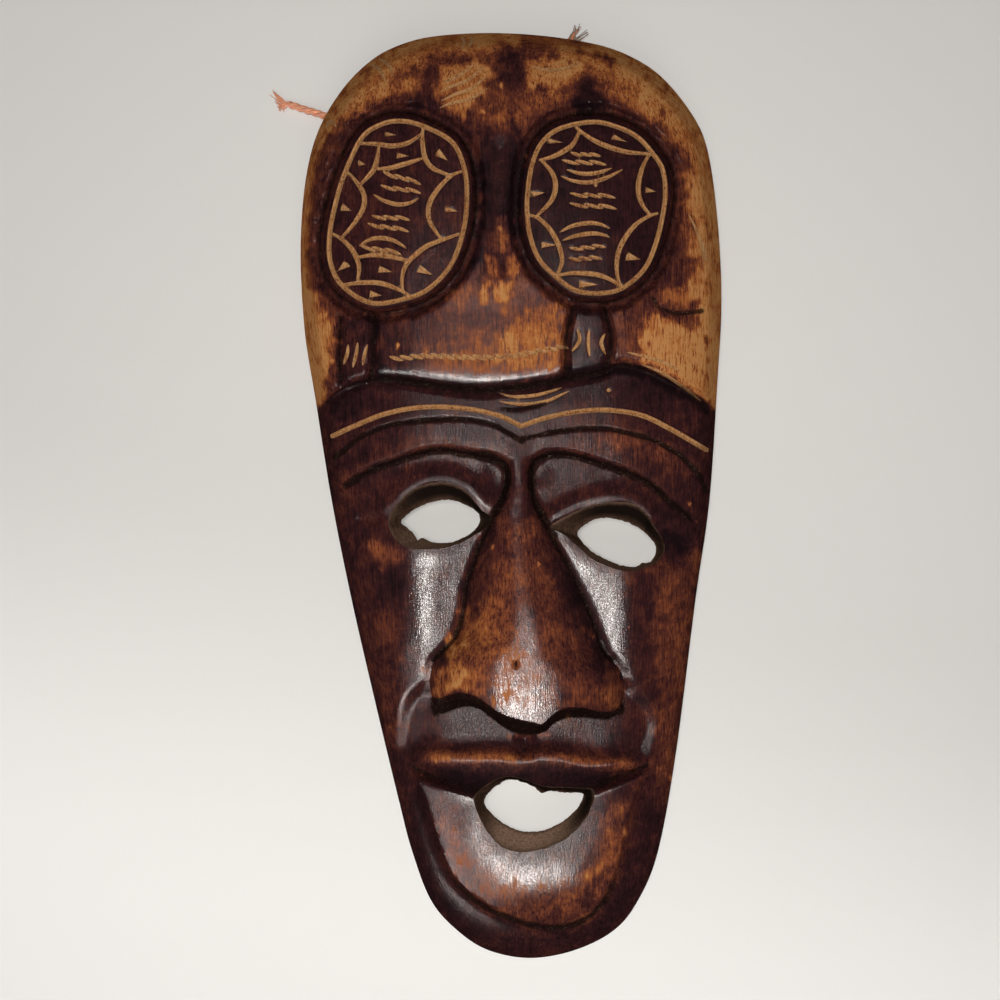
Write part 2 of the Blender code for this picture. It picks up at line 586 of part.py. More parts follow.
def feature_lines(plan, layout):
    """Return the plan lines that the mesh follows, each with whether it is closed."""
    half = STROKE_WIDTH / 2 / layout.scale[0]
    lines = []
    for ring in plan.rings:
        for margin in (-half, 0, half, OVAL_BORDER - 2, *(OVAL_BORDER + width for width in MOAT_WIDTHS)):
            lines.append((offset_loop(ring, -margin), True))
    for line in plan.arcs:
        for offset in (-half * ARC_WIDTH_SHARE, 0, half * ARC_WIDTH_SHARE):
            lines.append((beside(line, offset)[1:-1], False))
    for offset in (-6, 1, 5, 10):
        lines.append((beside(plan.cap_edge, offset), False))
    for line in plan.brow_lines:
        for offset in (0, half * BROW_LINE_SHARE, -half * BROW_LINE_SHARE):
            lines.append((beside(line, offset)[1:-1], False))
    for line in plan.frown_lines:
        for offset in (0, half, -half):
            lines.append((beside(line, offset)[1:-1], False))
    for offset in (-6, 1):
        edge = beside(plan.brow_edge, offset)
        lines += [(edge[edge[:, 0] < NOSE_ROOT_X[0]], False), (edge[edge[:, 0] > NOSE_ROOT_X[1]], False)]
    for stem in plan.stems:
        for offset in (0, STEM_GROOVE_HALF, -STEM_GROOVE_HALF):
            lines.append((beside(stem, offset), False))
    rows = np.array(NOSE_ROWS, float)[1:-1]
    for share in (-1.0, -0.86, 0.0, 0.86, 1.0):
        side = np.column_stack((rows[:, 1] + share * rows[:, 2], rows[:, 0]))
        lines.append((spline(side), False))
    lines += [(plan.nose_edge[1:-1], False), (plan.nose_foot[1:-1], False)]
    lines += [(plan.lip_ridge, False), (plan.lip_foot[1:-1], False)]
    lines += [(plan.lip_ridge[1:-1] - (0, 9), False), (plan.lip_foot[2:-2] + (0, 9), False)]
    pad_edge = spline(CHIN_PAD[:CHIN_PAD_CORNER])
    for offset in (0, 4, CHIN_PAD_SLOPE):
        lines.append((beside(pad_edge, offset), False))
    for fold in MUZZLE_FOLDS:
        for offset in (-4, 5):
            lines.append((beside(spline(MUZZLE[fold]), offset), False))
    return lines


def usable(points, plan, margin):
    """Return which plan points are on the face, clear of its outline and of the holes."""
    keep = depth_inside(points, plan.outline) > margin
    for rim in plan.rims:
        keep &= depth_inside(points, rim) < -margin * HOLE_MARGIN_SHARE
    return keep


def front_points(plan, layout):
    """Return the face's plan points and the edges that its triangles keep to."""
    loops = [plan.outline] + plan.rims
    points = [tuple(point) for loop in loops for point in loop]
    edges = []
    start = 0
    for loop in loops:
        count = len(loop)
        edges += [(start + index, start + (index + 1) % count) for index in range(count)]
        start += count
    inner = [offset_loop(plan.outline, gap) for gap in (3.0, 11.0)]
    extra = [(loop, True) for loop in inner] + feature_lines(plan, layout)
    for number, (line, closed) in enumerate(extra):
        keep = usable(line, plan, LINE_MARGINS[0] if number < len(inner) else LINE_MARGINS[1])
        tree = tree_of(points)
        keep &= np.array([tree.find((x, y, 0))[2] > POINT_GAP for x, y in line])
        number_of = {}
        for index in np.flatnonzero(keep):
            number_of[index] = len(points)
            points.append(tuple(line[index]))
        steps = range(len(line) if closed else len(line) - 1)
        for index in steps:
            after = (index + 1) % len(line)
            if index in number_of and after in number_of:
                edges.append((number_of[index], number_of[after]))
    feature_tree = tree_of(points)
    for step, near in ((NEAR_STEP, True), (OPEN_STEP, False)):
        grid = hex_grid(plan.outline, step)
        grid = grid[usable(grid, plan, GRID_MARGIN + step * GRID_CLEARANCE)]
        tree = tree_of(points)
        for x, y in grid:
            close = feature_tree.find((x, y, 0))[2] < NEAR_REACH
            if close == near and tree.find((x, y, 0))[2] > step * GRID_KEEP:
                points.append((x, y))
    return points, edges


def offset_loop(loop, gap):
    """Return a closed loop moved inwards by a gap."""
    along = np.roll(loop, -1, axis=0) - np.roll(loop, 1, axis=0)
    along /= np.linalg.norm(along, axis=1)[:, None]
    x, y = loop.T
    turns_left = x @ np.roll(y, -1) > y @ np.roll(x, -1)
    normals = np.column_stack((-along[:, 1], along[:, 0])) * (1 if turns_left else -1)
    return loop + gap * normals


def tree_of(points):
    """Return a search tree over flat points."""
    tree = kdtree.KDTree(len(points))
    for number, (x, y) in enumerate(points):
        tree.insert((x, y, 0), number)
    tree.balance()
    return tree


def hex_grid(loop, step):
    """Return a triangular grid of points over a loop's box."""
    low, high = loop.min(axis=0), loop.max(axis=0)
    rows = np.arange(low[1], high[1], step * math.sqrt(3) / 2)
    columns = np.arange(low[0], high[0], step)
    grid = [(x + (step / 2 if row % 2 else 0), y) for row, y in enumerate(rows) for x in columns]
    return np.array(grid)


def triangles_of(points, edges, outline, openings):
    """Return points and triangles that fill an outline, without its openings."""
    flat = [Vector(point) for point in points]
    made, _, faces, _, _, _ = delaunay_2d_cdt(flat, edges, [], 0, 1e-7)
    made = np.array([tuple(point) for point in made])
    faces = np.array([tuple(face) for face in faces])
    centres = made[faces].mean(axis=1)
    keep = contains(centres, outline)
    for opening in openings:
        keep &= ~contains(centres, opening)
    return made, faces[keep]


def hollow_height(places, hollow, plan_y):
    """Return the height of the hollow back at places on the mask, WALL under the smooth face."""
    rows = np.array(DOME_ROWS, float)
    crown = np.interp(plan_y, rows[:, 0], rows[:, 1])
    crown += HOLLOW_CAP_RISE * ease((HOLLOW_CAP_Y - plan_y) / HOLLOW_CAP_SPREAD + 0.5)
    crown = crown * HEIGHT_STEP - WALL
    inside = np.maximum(depth_inside(places, hollow), 0)
    share = np.clip(inside / HOLLOW_REACH, 0, 1)
    return crown * (1 - (1 - share) ** HOLLOW_SHAPE[0]) ** (1 / HOLLOW_SHAPE[1])


def plan_y_of(places, layout):
    """Return the plan's y for places on the mask, at about half the crown's height."""
    lean = (EYE_HEIGHT - EDGE_HEIGHT) / (EYE_HEIGHT - CROWN_HEIGHT / 2)
    return EYE_PLAN[1] - (places[:, 1] - layout.eye[1]) / layout.scale[1] * lean


def make_mask(plan, layout, material):
    """Build the carved wood as one closed mesh: face, sides, rim, hollow and three holes."""
    shape = bmesh.new()
    points, edges = front_points(plan, layout)
    face_plan, face_triangles = triangles_of(points, edges, plan.outline, plan.rims)
    heights = carved_height(face_plan, plan, layout)
    face_verts = [shape.verts.new(place) for place in layout.lay(face_plan, heights)]
    for triangle in face_triangles:
        shape.faces.new([face_verts[index] for index in triangle])
    face_tree = tree_of([tuple(point) for point in face_plan])

    def verts_on(loop):
        return [face_verts[face_tree.find((x, y, 0))[1]] for x, y in loop]

    outline_verts = verts_on(plan.outline)
    widest = np.array([tuple(vert.co)[:2] for vert in outline_verts])
    belly = ring_of(shape, offset_loop(widest, UNDERCUT * BELLY_UNDERCUT_SHARE),
                    EDGE_HEIGHT * BELLY_HEIGHT_SHARE)
    foot = ring_of(shape, offset_loop(widest, UNDERCUT), 0.0)
    hollow = offset_loop(widest, UNDERCUT + RIM_WIDTH)
    rim_inner = ring_of(shape, hollow, 0.0)
    for upper, lower in ((outline_verts, belly), (belly, foot), (foot, rim_inner)):
        bridge(shape, upper, lower)

    back_loops = [settle_on_hollow(hole, hollow, layout) for hole in plan.holes]
    back_points = [tuple(point) for point in hollow]
    back_edges = [(index, (index + 1) % len(hollow)) for index in range(len(hollow))]
    for loop in back_loops:
        start = len(back_points)
        back_points += [tuple(point) for point in loop]
        back_edges += [(start + index, start + (index + 1) % len(loop)) for index in range(len(loop))]
    back_points += [tuple(point) for point in offset_loop(hollow, HOLLOW_FIRST_RING)]
    back_points += [tuple(point) for point in offset_loop(hollow, HOLLOW_SECOND_RING)[::2]]
    tree = tree_of(back_points)
    grid = hex_grid(hollow, BACK_STEP)
    for x, y in grid[depth_inside(grid, hollow) > HOLLOW_SECOND_RING]:
        if tree.find((x, y, 0))[2] > BACK_STEP * GRID_KEEP:
            back_points.append((x, y))
    back_plan, back_triangles = triangles_of(back_points, back_edges, hollow, back_loops)
    back_heights = hollow_height(back_plan, hollow, plan_y_of(back_plan, layout))
    back_tree = tree_of([tuple(point) for point in back_plan])
    back_verts = [None] * len(back_plan)
    for point, vert in zip(hollow, rim_inner):
        back_verts[back_tree.find((point[0], point[1], 0))[1]] = vert
    for index, (x, y) in enumerate(back_plan):
        if back_verts[index] is None:
            back_verts[index] = shape.verts.new((x, y, back_heights[index]))
    for triangle in back_triangles:
        shape.faces.new([back_verts[index] for index in triangle[::-1]])
    for rim, loop in zip(plan.rims, back_loops):
        back_ring = [back_verts[back_tree.find((x, y, 0))[1]] for x, y in loop]
        bridge(shape, verts_on(rim), back_ring)

    loose = [vert for vert in shape.verts if not vert.link_faces]
    bmesh.ops.delete(shape, geom=loose, context="VERTS")
    bmesh.ops.recalc_face_normals(shape, faces=shape.faces)
    return finish("mask", shape, material)


def settle_on_hollow(hole, hollow, layout):
    """Return a plan loop as places on the hollow's surface, found by stepping towards it."""
    heights = np.full(len(hole), CROWN_HEIGHT / 2)
    for _ in range(SETTLE_ROUNDS):
        places = layout.lay(hole, heights)[:, :2]
        heights = hollow_height(places, hollow, plan_y_of(places, layout))
    return places


def ring_of(shape, loop, height):
    """Add a level ring of points and return them."""
    return [shape.verts.new((x, y, height)) for x, y in loop]


def bridge(shape, upper, lower):
    """Join two rings of equally many points with triangles, across the shorter diagonals."""
    count = len(upper)
    for index in range(count):
        a, b = upper[index], upper[(index + 1) % count]
        c, d = lower[(index + 1) % count], lower[index]
        if (a.co - c.co).length < (b.co - d.co).length:
            shape.faces.new((a, b, c))
            shape.faces.new((a, c, d))
        else:
            shape.faces.new((a, b, d))
            shape.faces.new((b, c, d))


def finish(name, shape, material):
    """Turn a bmesh into a named object with its material."""
    mesh = bpy.data.meshes.new(name)
    shape.to_mesh(mesh)
    shape.free()
    mesh.shade_smooth()
    mesh.set_sharp_from_angle(angle=math.radians(38))
    mesh.materials.append(material)
    part = bpy.data.objects.new(name, mesh)
    bpy.context.scene.collection.objects.link(part)
    return part


def make_material(name, colour, roughness):
    """Return a plain Principled material."""
    material = bpy.data.materials.new(name)
    material.use_nodes = True
    shader = material.node_tree.nodes["Principled BSDF"]
    shader.inputs["Base Color"].default_value = (*colour, 1.0)
    shader.inputs["Roughness"].default_value = roughness
    shader.inputs["Metallic"].default_value = 0.0
    return material


class CordHole:
    """A round hole from outside to the hollow, square to the outline at a plan place."""

    def __init__(self, plan_place, plan, layout):
        outline = layout.lay(plan.outline, EDGE_HEIGHT)[:, :2]
        place = layout.lay(np.array([plan_place], float), CORD_HOLE_HEIGHT)[0, :2]
        nearest = int(np.argmin(np.linalg.norm(outline - place, axis=1)))
        along = outline[(nearest + 2) % len(outline)] - outline[nearest - 2]
        normal = np.array((-along[1], along[0])) / np.linalg.norm(along)
        if normal @ outline[nearest] > 0:
            normal = -normal
        self.inwards = normal
        self.start = outline[nearest]

    def point(self, depth, height=CORD_HOLE_HEIGHT):
        """Return the place on the hole's axis at a depth in from the widest outline."""
        place = self.start + self.inwards * depth
        return Vector((place[0], place[1], height))

    def cut(self, mask, name):
        """Cut the hole through the mask's side with a round cutter."""
        outer = self.point(-CUTTER_START)
        inner = self.point(UNDERCUT + RIM_WIDTH + CUTTER_OVERRUN)
        shape = bmesh.new()
        radius = CORD_DIAMETER / 2 + CORD_CLEARANCE
        axis = inner - outer
        bmesh.ops.create_cone(shape, cap_ends=True, segments=CORD_HOLE_SIDES, radius1=radius,
                              radius2=radius, depth=axis.length)
        shape.transform(axis.to_track_quat("Z", "Y").to_matrix().to_4x4())
        bmesh.ops.translate(shape, verts=shape.verts, vec=(outer + inner) / 2)
        mesh = bpy.data.meshes.new(name)
        shape.to_mesh(mesh)
        shape.free()
        cutter = bpy.data.objects.new(name, mesh)
        cutter.hide_render = True
        cutter.display_type = "WIRE"
        bpy.context.scene.collection.objects.link(cutter)
        opening = mask.modifiers.new(name, "BOOLEAN")
        opening.operation = "DIFFERENCE"
        opening.solver = "EXACT"
        opening.object = cutter


def cord_route(left_hole, top_hole, layout):
    """Return the cord's way in metres: outside, in by one hole, across the hollow, out by the other."""
    def laid(rows):
        rows = np.array(rows, float)
        return [Vector(place) for place in layout.lay(rows[:, :2], rows[:, 2] * CORD_STEP)]

    through = UNDERCUT + RIM_WIDTH
    route = laid(CORD_TAIL_LEFT)
    route += [left_hole.point(depth) for depth in (0, through / 2, through + CORD_PAST_WALL)]
    route += laid(CORD_INSIDE)
    route += [top_hole.point(depth) for depth in (through + CORD_PAST_WALL, through / 2, 0)]
    route += laid(CORD_TAIL_TOP)
    return route


def make_cord(route, material):
    """Build the hanging cord as a round tube along a smooth curve through its route."""
    way = spline([tuple(point) for point in route], step=CORD_DIAMETER * CORD_POINT_SPACING)
    curve = bpy.data.curves.new("hanging_cord", "CURVE")
    curve.dimensions = "3D"
    curve.bevel_depth = CORD_DIAMETER / 2
    curve.bevel_resolution = 2
    curve.use_fill_caps = True
    line = curve.splines.new("POLY")
    line.points.add(len(way) - 1)
    for place, point in zip(way, line.points):
        point.co = (*place, 1.0)
    curve.materials.append(material)
    cord = bpy.data.objects.new("hanging_cord", curve)
    bpy.context.scene.collection.objects.link(cord)
    return cord


def main():
    """Build the mask and its cord."""
    for old in list(bpy.data.objects):
        bpy.data.objects.remove(old, do_unlink=True)
    wood = make_material("stained_wood", (0.085, 0.028, 0.018), 0.32)
    twine = make_material("orange_twine", (0.42, 0.17, 0.075), 0.85)
    plan = Plan()
    layout = Layout(plan.outline)
    mask = make_mask(plan, layout, wood)
    left_hole = CordHole(LEFT_CORD_HOLE, plan, layout)
    top_hole = CordHole(TOP_CORD_HOLE, plan, layout)
    left_hole.cut(mask, "left_cord_hole")
    top_hole.cut(mask, "top_cord_hole")
    make_cord(cord_route(left_hole, top_hole, layout), twine)


main()
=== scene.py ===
"""Looks of the tribal mask: the finely carved, stained and rubbed wood, and the twine it hangs by.

The carving is drawn on a plan, with X to the right and Y downwards in plan units, as an eye above
the mask sees it. Layout.lay() puts a plan point at any height on the mask. Heights of the carving
are in millimetres, and everything else is in metres. The mask lies on its back rim at Z = 0.
"""

import logging
import math
from collections.abc import Iterable, Sequence
from dataclasses import dataclass, field
from enum import Enum

import bmesh
import bpy
import numpy as np
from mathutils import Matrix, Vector, kdtree, noise
from mathutils.geometry import delaunay_2d_cdt


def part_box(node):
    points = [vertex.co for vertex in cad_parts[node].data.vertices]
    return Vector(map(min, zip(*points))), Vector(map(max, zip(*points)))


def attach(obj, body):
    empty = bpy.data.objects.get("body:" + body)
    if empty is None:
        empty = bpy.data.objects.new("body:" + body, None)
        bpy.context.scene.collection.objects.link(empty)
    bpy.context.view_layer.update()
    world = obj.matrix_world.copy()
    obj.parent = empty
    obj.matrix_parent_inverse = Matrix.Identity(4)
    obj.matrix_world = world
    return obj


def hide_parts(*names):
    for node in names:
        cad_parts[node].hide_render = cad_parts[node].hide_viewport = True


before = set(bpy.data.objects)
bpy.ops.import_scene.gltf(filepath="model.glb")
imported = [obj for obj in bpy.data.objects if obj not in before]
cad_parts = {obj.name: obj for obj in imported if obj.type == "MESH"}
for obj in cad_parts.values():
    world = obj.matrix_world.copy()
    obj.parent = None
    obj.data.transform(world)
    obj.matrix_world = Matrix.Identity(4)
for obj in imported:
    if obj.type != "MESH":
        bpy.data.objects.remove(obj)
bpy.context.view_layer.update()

LOG = logging.getLogger("tribal_mask")
MM = 0.001

Points = np.ndarray
Line = Sequence[tuple[float, ...]]


def walk(line: Points, step: float, closed: bool) -> Points:
    """Spread points evenly along a line.

    Args:
        line: The line's points, close together.
        step: The wanted distance between points.
        closed: Whether the line is a loop, which doesn't repeat its first point.

    Returns:
        The spread points.
    """
    travelled = np.concatenate(([0], np.cumsum(np.linalg.norm(np.diff(line, axis=0), axis=1))))
    count = max(2, round(travelled[-1] / step))
    places = np.linspace(0, travelled[-1], count + 1)
    if closed:
        places = places[:-1]
    return np.column_stack([np.interp(places, travelled, axis) for axis in line.T])


def spline(points: Line, closed: bool = False, step: float = 3.0) -> Points:
    """Draw a smooth line through points.

    Args:
        points: The points that the line passes.
        closed: Whether it returns to its start.
        step: The distance between the points of the result.

    Returns:
        The line's points.
    """
    anchors = np.array(points, float)
    if closed:
        anchors = np.vstack((anchors[-1:], anchors, anchors[:2]))
    else:
        anchors = np.vstack((2 * anchors[0] - anchors[1], anchors, 2 * anchors[-1] - anchors[-2]))
    shares = np.linspace(0, 1, 12, endpoint=False)[:, None]
    fine = []
    for before, start, end, after in zip(anchors, anchors[1:], anchors[2:], anchors[3:]):
        bend = 2 * before - 5 * start + 4 * end - after
        twist = 3 * (start - end) + after - before
        fine.append(start + 0.5 * shares * (end - before + shares * (bend + shares * twist)))
    return walk(np.vstack(fine + [anchors[-2:-1]]), step, closed)


def dense(line: Points, step: float = 3.0) -> tuple[Points, Points]:
    """Add points along a line's long segments, and return the line with each point's share of its length."""
    pieces = [line[:1]]
    for start, end in zip(line, line[1:]):
        count = max(1, math.ceil(np.linalg.norm(end - start) / step))
        pieces.append(start + (end - start) * (np.arange(1, count + 1) / count)[:, None])
    fine = np.vstack(pieces)
    travelled = np.concatenate(([0], np.cumsum(np.linalg.norm(np.diff(fine, axis=0), axis=1))))
    return fine, travelled / travelled[-1]


def gap_to(points: Points, line: Points, reach: float = 1e6) -> tuple[Points, Points]:
    """Measure the distance from points to a line.

    Args:
        points: Plan points.
        line: The line's points.
        reach: The distance beyond which nothing is measured, and which is then the answer.

    Returns:
        Each point's distance, and the share of the line's length that it is nearest to.
    """
    nearest = np.full(len(points), float(reach))
    along = np.zeros(len(points))
    fine, shares = dense(np.asarray(line, float))
    close = np.flatnonzero(((points > fine.min(axis=0) - reach) & (points < fine.max(axis=0) + reach)).all(axis=1))
    if not len(close):
        return nearest, along
    spots = points[close]
    tree = tree_of(fine)
    corner = np.array([tree.find((x, y, 0))[1] for x, y in spots])
    best = np.full(len(close), np.inf)
    for first in (np.maximum(corner - 1, 0), np.minimum(corner, len(fine) - 2)):
        start, span = fine[first], fine[first + 1] - fine[first]
        share = np.clip(((spots - start) * span).sum(axis=1) / (span * span).sum(axis=1), 0, 1)
        gap = np.linalg.norm(spots - start - share[:, None] * span, axis=1)
        nearer = gap < best
        best[nearer] = gap[nearer]
        place = shares[first] + share * (shares[first + 1] - shares[first])
        along[close[nearer]] = place[nearer]
    nearest[close] = np.minimum(best, reach)
    return nearest, along


def contains(points: Points, loop: Points) -> Points:
    """Tell which points lie inside a closed loop."""
    answer = np.zeros(len(points), bool)
    close = ((points > loop.min(axis=0)) & (points < loop.max(axis=0))).all(axis=1)
    x, y = points[close].T
    inside = np.zeros(len(x), bool)
    for (x1, y1), (x2, y2) in zip(loop, np.roll(loop, -1, axis=0)):
        if y1 != y2:
            crossing = x1 + (y - y1) * (x2 - x1) / (y2 - y1)
            inside ^= ((y1 > y) != (y2 > y)) & (x < crossing)
    answer[close] = inside
    return answer


def depth_inside(points: Points, loop: Points, reach: float = 1e6) -> Points:
    """Measure the distance to a closed loop.

    Args:
        points: Plan points.
        loop: The loop's points.
        reach: The distance beyond which nothing is measured.

    Returns:
        The distance, positive inside the loop and negative outside.
    """
    loop = np.asarray(loop, float)
    gap = gap_to(points, np.vstack((loop, loop[:1])), reach)[0]
    return np.where(contains(points, loop), gap, -gap)


def height_above(points: Points, line: Points) -> Points:
    """Measure the distance to a line across the whole mask, positive on the head's side."""
    level = np.interp(points[:, 0], line[:, 0], line[:, 1])
    gap = gap_to(points, line, 60.0)[0]
    return np.where(points[:, 1] < level, gap, -gap)


def ease(value: Points) -> Points:
    """Return a smooth step from 0 to 1 as value goes from 0 to 1."""
    share = np.clip(value, 0, 1)
    return share * share * (3 - 2 * share)


def rounded(value: Points) -> Points:
    """Return a quarter-round step, steep at 0 and level at 1."""
    return np.sqrt(1 - (1 - np.clip(value, 0, 1)) ** 2)


def hill(value: Points) -> Points:
    """Return a bell shape, 1 at 0 and nearly 0 beyond 2."""
    return np.exp(-value * value)


def groove(points: Points, line: Points, half: float, depth: float, taper: float = 0.0) -> Points:
    """Cut a V groove along a line.

    Args:
        points: Plan points.
        line: The groove's middle line.
        half: Half its width, in plan units.
        depth: Its depth in millimetres.
        taper: The share of its length over which it fades in and out.

    Returns:
        The relief in millimetres, 0 or below.
    """
    gap, along = gap_to(points, line, half)
    cut = depth * np.clip(1 - gap / half, 0, 1)
    if taper:
        cut = cut * ease(along / taper) * ease((1 - along) / taper)
    return -cut


def beside(line: Points, offset: float) -> Points:
    """Move a line sideways by an offset."""
    along = np.gradient(line, axis=0)
    along /= np.linalg.norm(along, axis=1)[:, None]
    return line + offset * np.column_stack((-along[:, 1], along[:, 0]))


def inset(loop: Points, gap: float) -> Points:
    """Move a closed loop inwards by a gap."""
    along = np.roll(loop, -1, axis=0) - np.roll(loop, 1, axis=0)
    along /= np.linalg.norm(along, axis=1)[:, None]
    x, y = loop.T
    turns_left = x @ np.roll(y, -1) > y @ np.roll(x, -1)
    return loop + gap * np.column_stack((-along[:, 1], along[:, 0])) * (1 if turns_left else -1)


def roughness_at(places: Points, size: float, seed: float) -> Points:
    """Return smooth random heights from -1 to 1 that vary over a size, the same on each run."""
    shift = Vector((seed, seed * 0.7, seed * 1.3))
    return np.array([noise.noise(Vector((x, y, 0)) / size + shift) for x, y in places])


def tree_of(points: Iterable[Sequence[float]]) -> kdtree.KDTree:
    """Make a search tree over flat points."""
    points = list(points)
    tree = kdtree.KDTree(len(points))
    for number, point in enumerate(points):
        tree.insert((point[0], point[1], 0), number)
    tree.balance()
    return tree


def hex_grid(loop: Points, step: float) -> Points:
    """Make a triangular grid of points over a loop's box."""
    low, high = loop.min(axis=0), loop.max(axis=0)
    columns = np.arange(low[0], high[0], step)
    rows = np.arange(low[1], high[1], step * math.sqrt(3) / 2)
    x, y = np.meshgrid(columns, rows)
    x[1::2] += step / 2
    return np.column_stack((x.ravel(), y.ravel()))


# The drawing, in plan units
OUTLINE = [
    (485, 33), (433, 36.5), (400, 45), (372, 60), (343, 89), (319, 130), (306, 180),
    (301, 250), (305, 330), (316, 400), (332, 500), (352, 600), (375, 700), (399, 800),
    (412, 850), (431, 900), (457, 930), (488, 950), (530, 958), (575, 950), (614, 930),
    (638, 900), (658, 850), (676, 750), (695, 600), (709, 500), (717, 380), (721, 300),
    (717, 220), (707, 150), (690, 112), (659, 75), (625, 54), (590, 43), (540, 35.5),
]
CAP_EDGE = [
    (288, 432), (318, 410), (335, 394), (350, 385), (372, 379), (400, 379), (440, 385),
    (480, 389), (520, 386), (560, 379), (600, 371), (617, 364), (635, 366), (660, 376),
    (690, 392), (712, 408), (735, 424),
]
LEFT_RING = [
    (400, 121), (423, 126), (452, 142), (464, 167), (467, 194), (464, 228), (452, 263), (431, 287),
    (408, 298), (372, 303), (343, 286), (331, 263), (330, 235), (336, 203), (346, 171), (362, 138), (380, 125),
]
RIGHT_RING = [
    (593, 122), (617, 127), (637, 137), (652, 153), (662, 169), (665, 192), (662, 217), (655, 245),
    (644, 269), (624, 287), (604, 293), (577, 291), (555, 276), (539, 259), (530, 236), (527, 212),
    (528, 188), (533, 161), (543, 141), (561, 128),
]
LEFT_ARCS = [
    [(361, 143.5), (377, 144), (392, 146), (408, 143), (421, 134.5)],
    [(423, 128), (422.5, 141), (425, 157), (431.5, 167), (441, 172), (451, 175.5)],
    [(461, 171.5), (451, 176), (438, 189), (429.5, 204), (429, 219), (435.5, 231), (442, 239.5)],
    [(459, 234), (442, 240), (427, 246), (416.5, 254), (409, 261), (404, 269.5), (402, 282), (403, 290)],
    [(359.5, 257), (374, 255), (390, 256.5), (409, 261)],
    [(342.5, 285), (357.5, 283), (374, 282.5), (386, 284.5), (400, 290), (409.5, 295.5)],
    [(333.5, 234), (342.5, 239.5), (352, 249), (357, 258.5), (359.5, 268), (358, 280.5)],
    [(348, 172), (357.5, 183), (364, 194), (364, 206.5), (357.5, 219), (349, 230), (342.5, 237)],
    [(379, 147.5), (377.5, 158.5), (374, 169.5), (367, 178), (361, 184)],
    [(377.5, 169), (392, 167.5), (408, 163), (422, 158.5)],
]
RIGHT_ARCS = [
    [(579.5, 130.5), (573, 144), (562, 152), (551.5, 157), (540, 160)],
    [(576, 128), (593, 140), (609, 147), (626.5, 152), (649, 154)],
    [(541, 160), (551.5, 172), (555.5, 185), (551.5, 200), (537, 216)],
    [(530, 215), (539.5, 219), (550, 229.5), (558, 244), (562, 259), (560, 268), (555.5, 276.5)],
    [(559, 275), (574, 273), (595.5, 274.5), (609, 279), (621, 286.5)],
    [(657, 213.5), (649, 216), (636, 224), (625, 237.5), (618.5, 251), (616.5, 263), (617, 275), (620, 286)],
    [(649, 154), (642.5, 166.5), (638.5, 181), (638.5, 195), (642.5, 205.5), (650, 215.5)],
]
# Wedge-shaped nicks: the middle of the base, the tip and the base's width
NICKS = [
    ((385, 134), (397, 135), 4.4), ((397, 155.5), (409, 156), 5.2), ((437, 152), (448, 160.5), 7.5),
    ((358, 163), (366, 164.5), 6.0), ((341.5, 207), (352, 211), 7.5), ((445, 209), (459, 211.5), 5.2),
    ((348, 263), (338, 271), 8.0), ((379, 269), (392.5, 272), 6.5), ((418.5, 268.5), (433, 275), 7.5),
    ((370, 294), (382, 295.5), 6.5), ((548, 141), (563.5, 142.5), 4.4), ((612, 136.5), (627, 142), 5.0),
    ((532, 194), (545.5, 192.5), 5.2), ((645, 190), (655.5, 191.5), 5.4), ((541.5, 245), (556, 245), 6.0),
    ((626, 256), (640, 259.5), 8.5), ((579, 284), (598.5, 284.5), 6.4),
]
# Rows of three short slanted strokes: the row's two ends and its height
ZIGZAGS = [
    ((381, 173), (423, 183), 4.5), ((379, 187), (423, 191.5), 4.5), ((370, 217.5), (412, 218), 4.5),
    ((366, 225), (411, 230), 4.5), ((358, 247), (403, 252.5), 4.5), ((568, 154), (603, 155), 3.5),
    ((560, 162), (608, 163), 4.5), ((568, 195), (617, 196), 4.5), ((568, 205), (618, 207), 4.5),
    ((567, 250), (608, 245), 4.5), ((566, 260), (604, 257), 4.5),
]
BOWS = [
    [(373, 194), (385, 201), (399, 204.5), (411, 202.5), (419, 198)],
    [(359, 246), (370, 239.5), (382, 238), (395, 241), (407, 248.5)],
    [(566, 169.5), (578, 173), (589, 173.8), (600, 172), (612, 168)],
    [(560, 175.5), (570, 180), (585, 182.5), (598, 180.5), (611, 175.5), (623, 169)],
    [(559, 232.5), (572, 226), (588, 223), (599, 224), (610, 228.5)],
    [(562, 240.5), (575, 236), (590, 233.5), (600, 234), (610, 237.5)],
]
PLAIN_CUTS = [
    [(348.5, 344), (347.5, 354), (343.5, 365)], [(358, 342), (356.5, 354), (353, 368)],
    [(368, 344), (365, 354), (363, 366)], [(577, 328.5), (579.5, 340), (571.5, 352)],
    [(589, 329), (588, 342), (589.5, 357)], [(605, 333), (601, 343), (605.5, 355)],
    [(499, 393), (512, 396.5), (530, 396), (545, 393), (562, 387.5)],
    [(499, 401), (512, 403.5), (530, 404), (548, 400.5), (569, 391)],
    [(606, 389.5), (611, 391)], [(595.5, 181), (595.5, 187.5)],
    [(370, 64), (380, 70), (386, 82)], [(378, 58), (389, 65), (393, 76)],
    [(460, 36), (464, 41), (462, 50)], [(470, 35), (472, 40), (468, 48)], [(326, 128), (331, 121), (337, 127)],
]
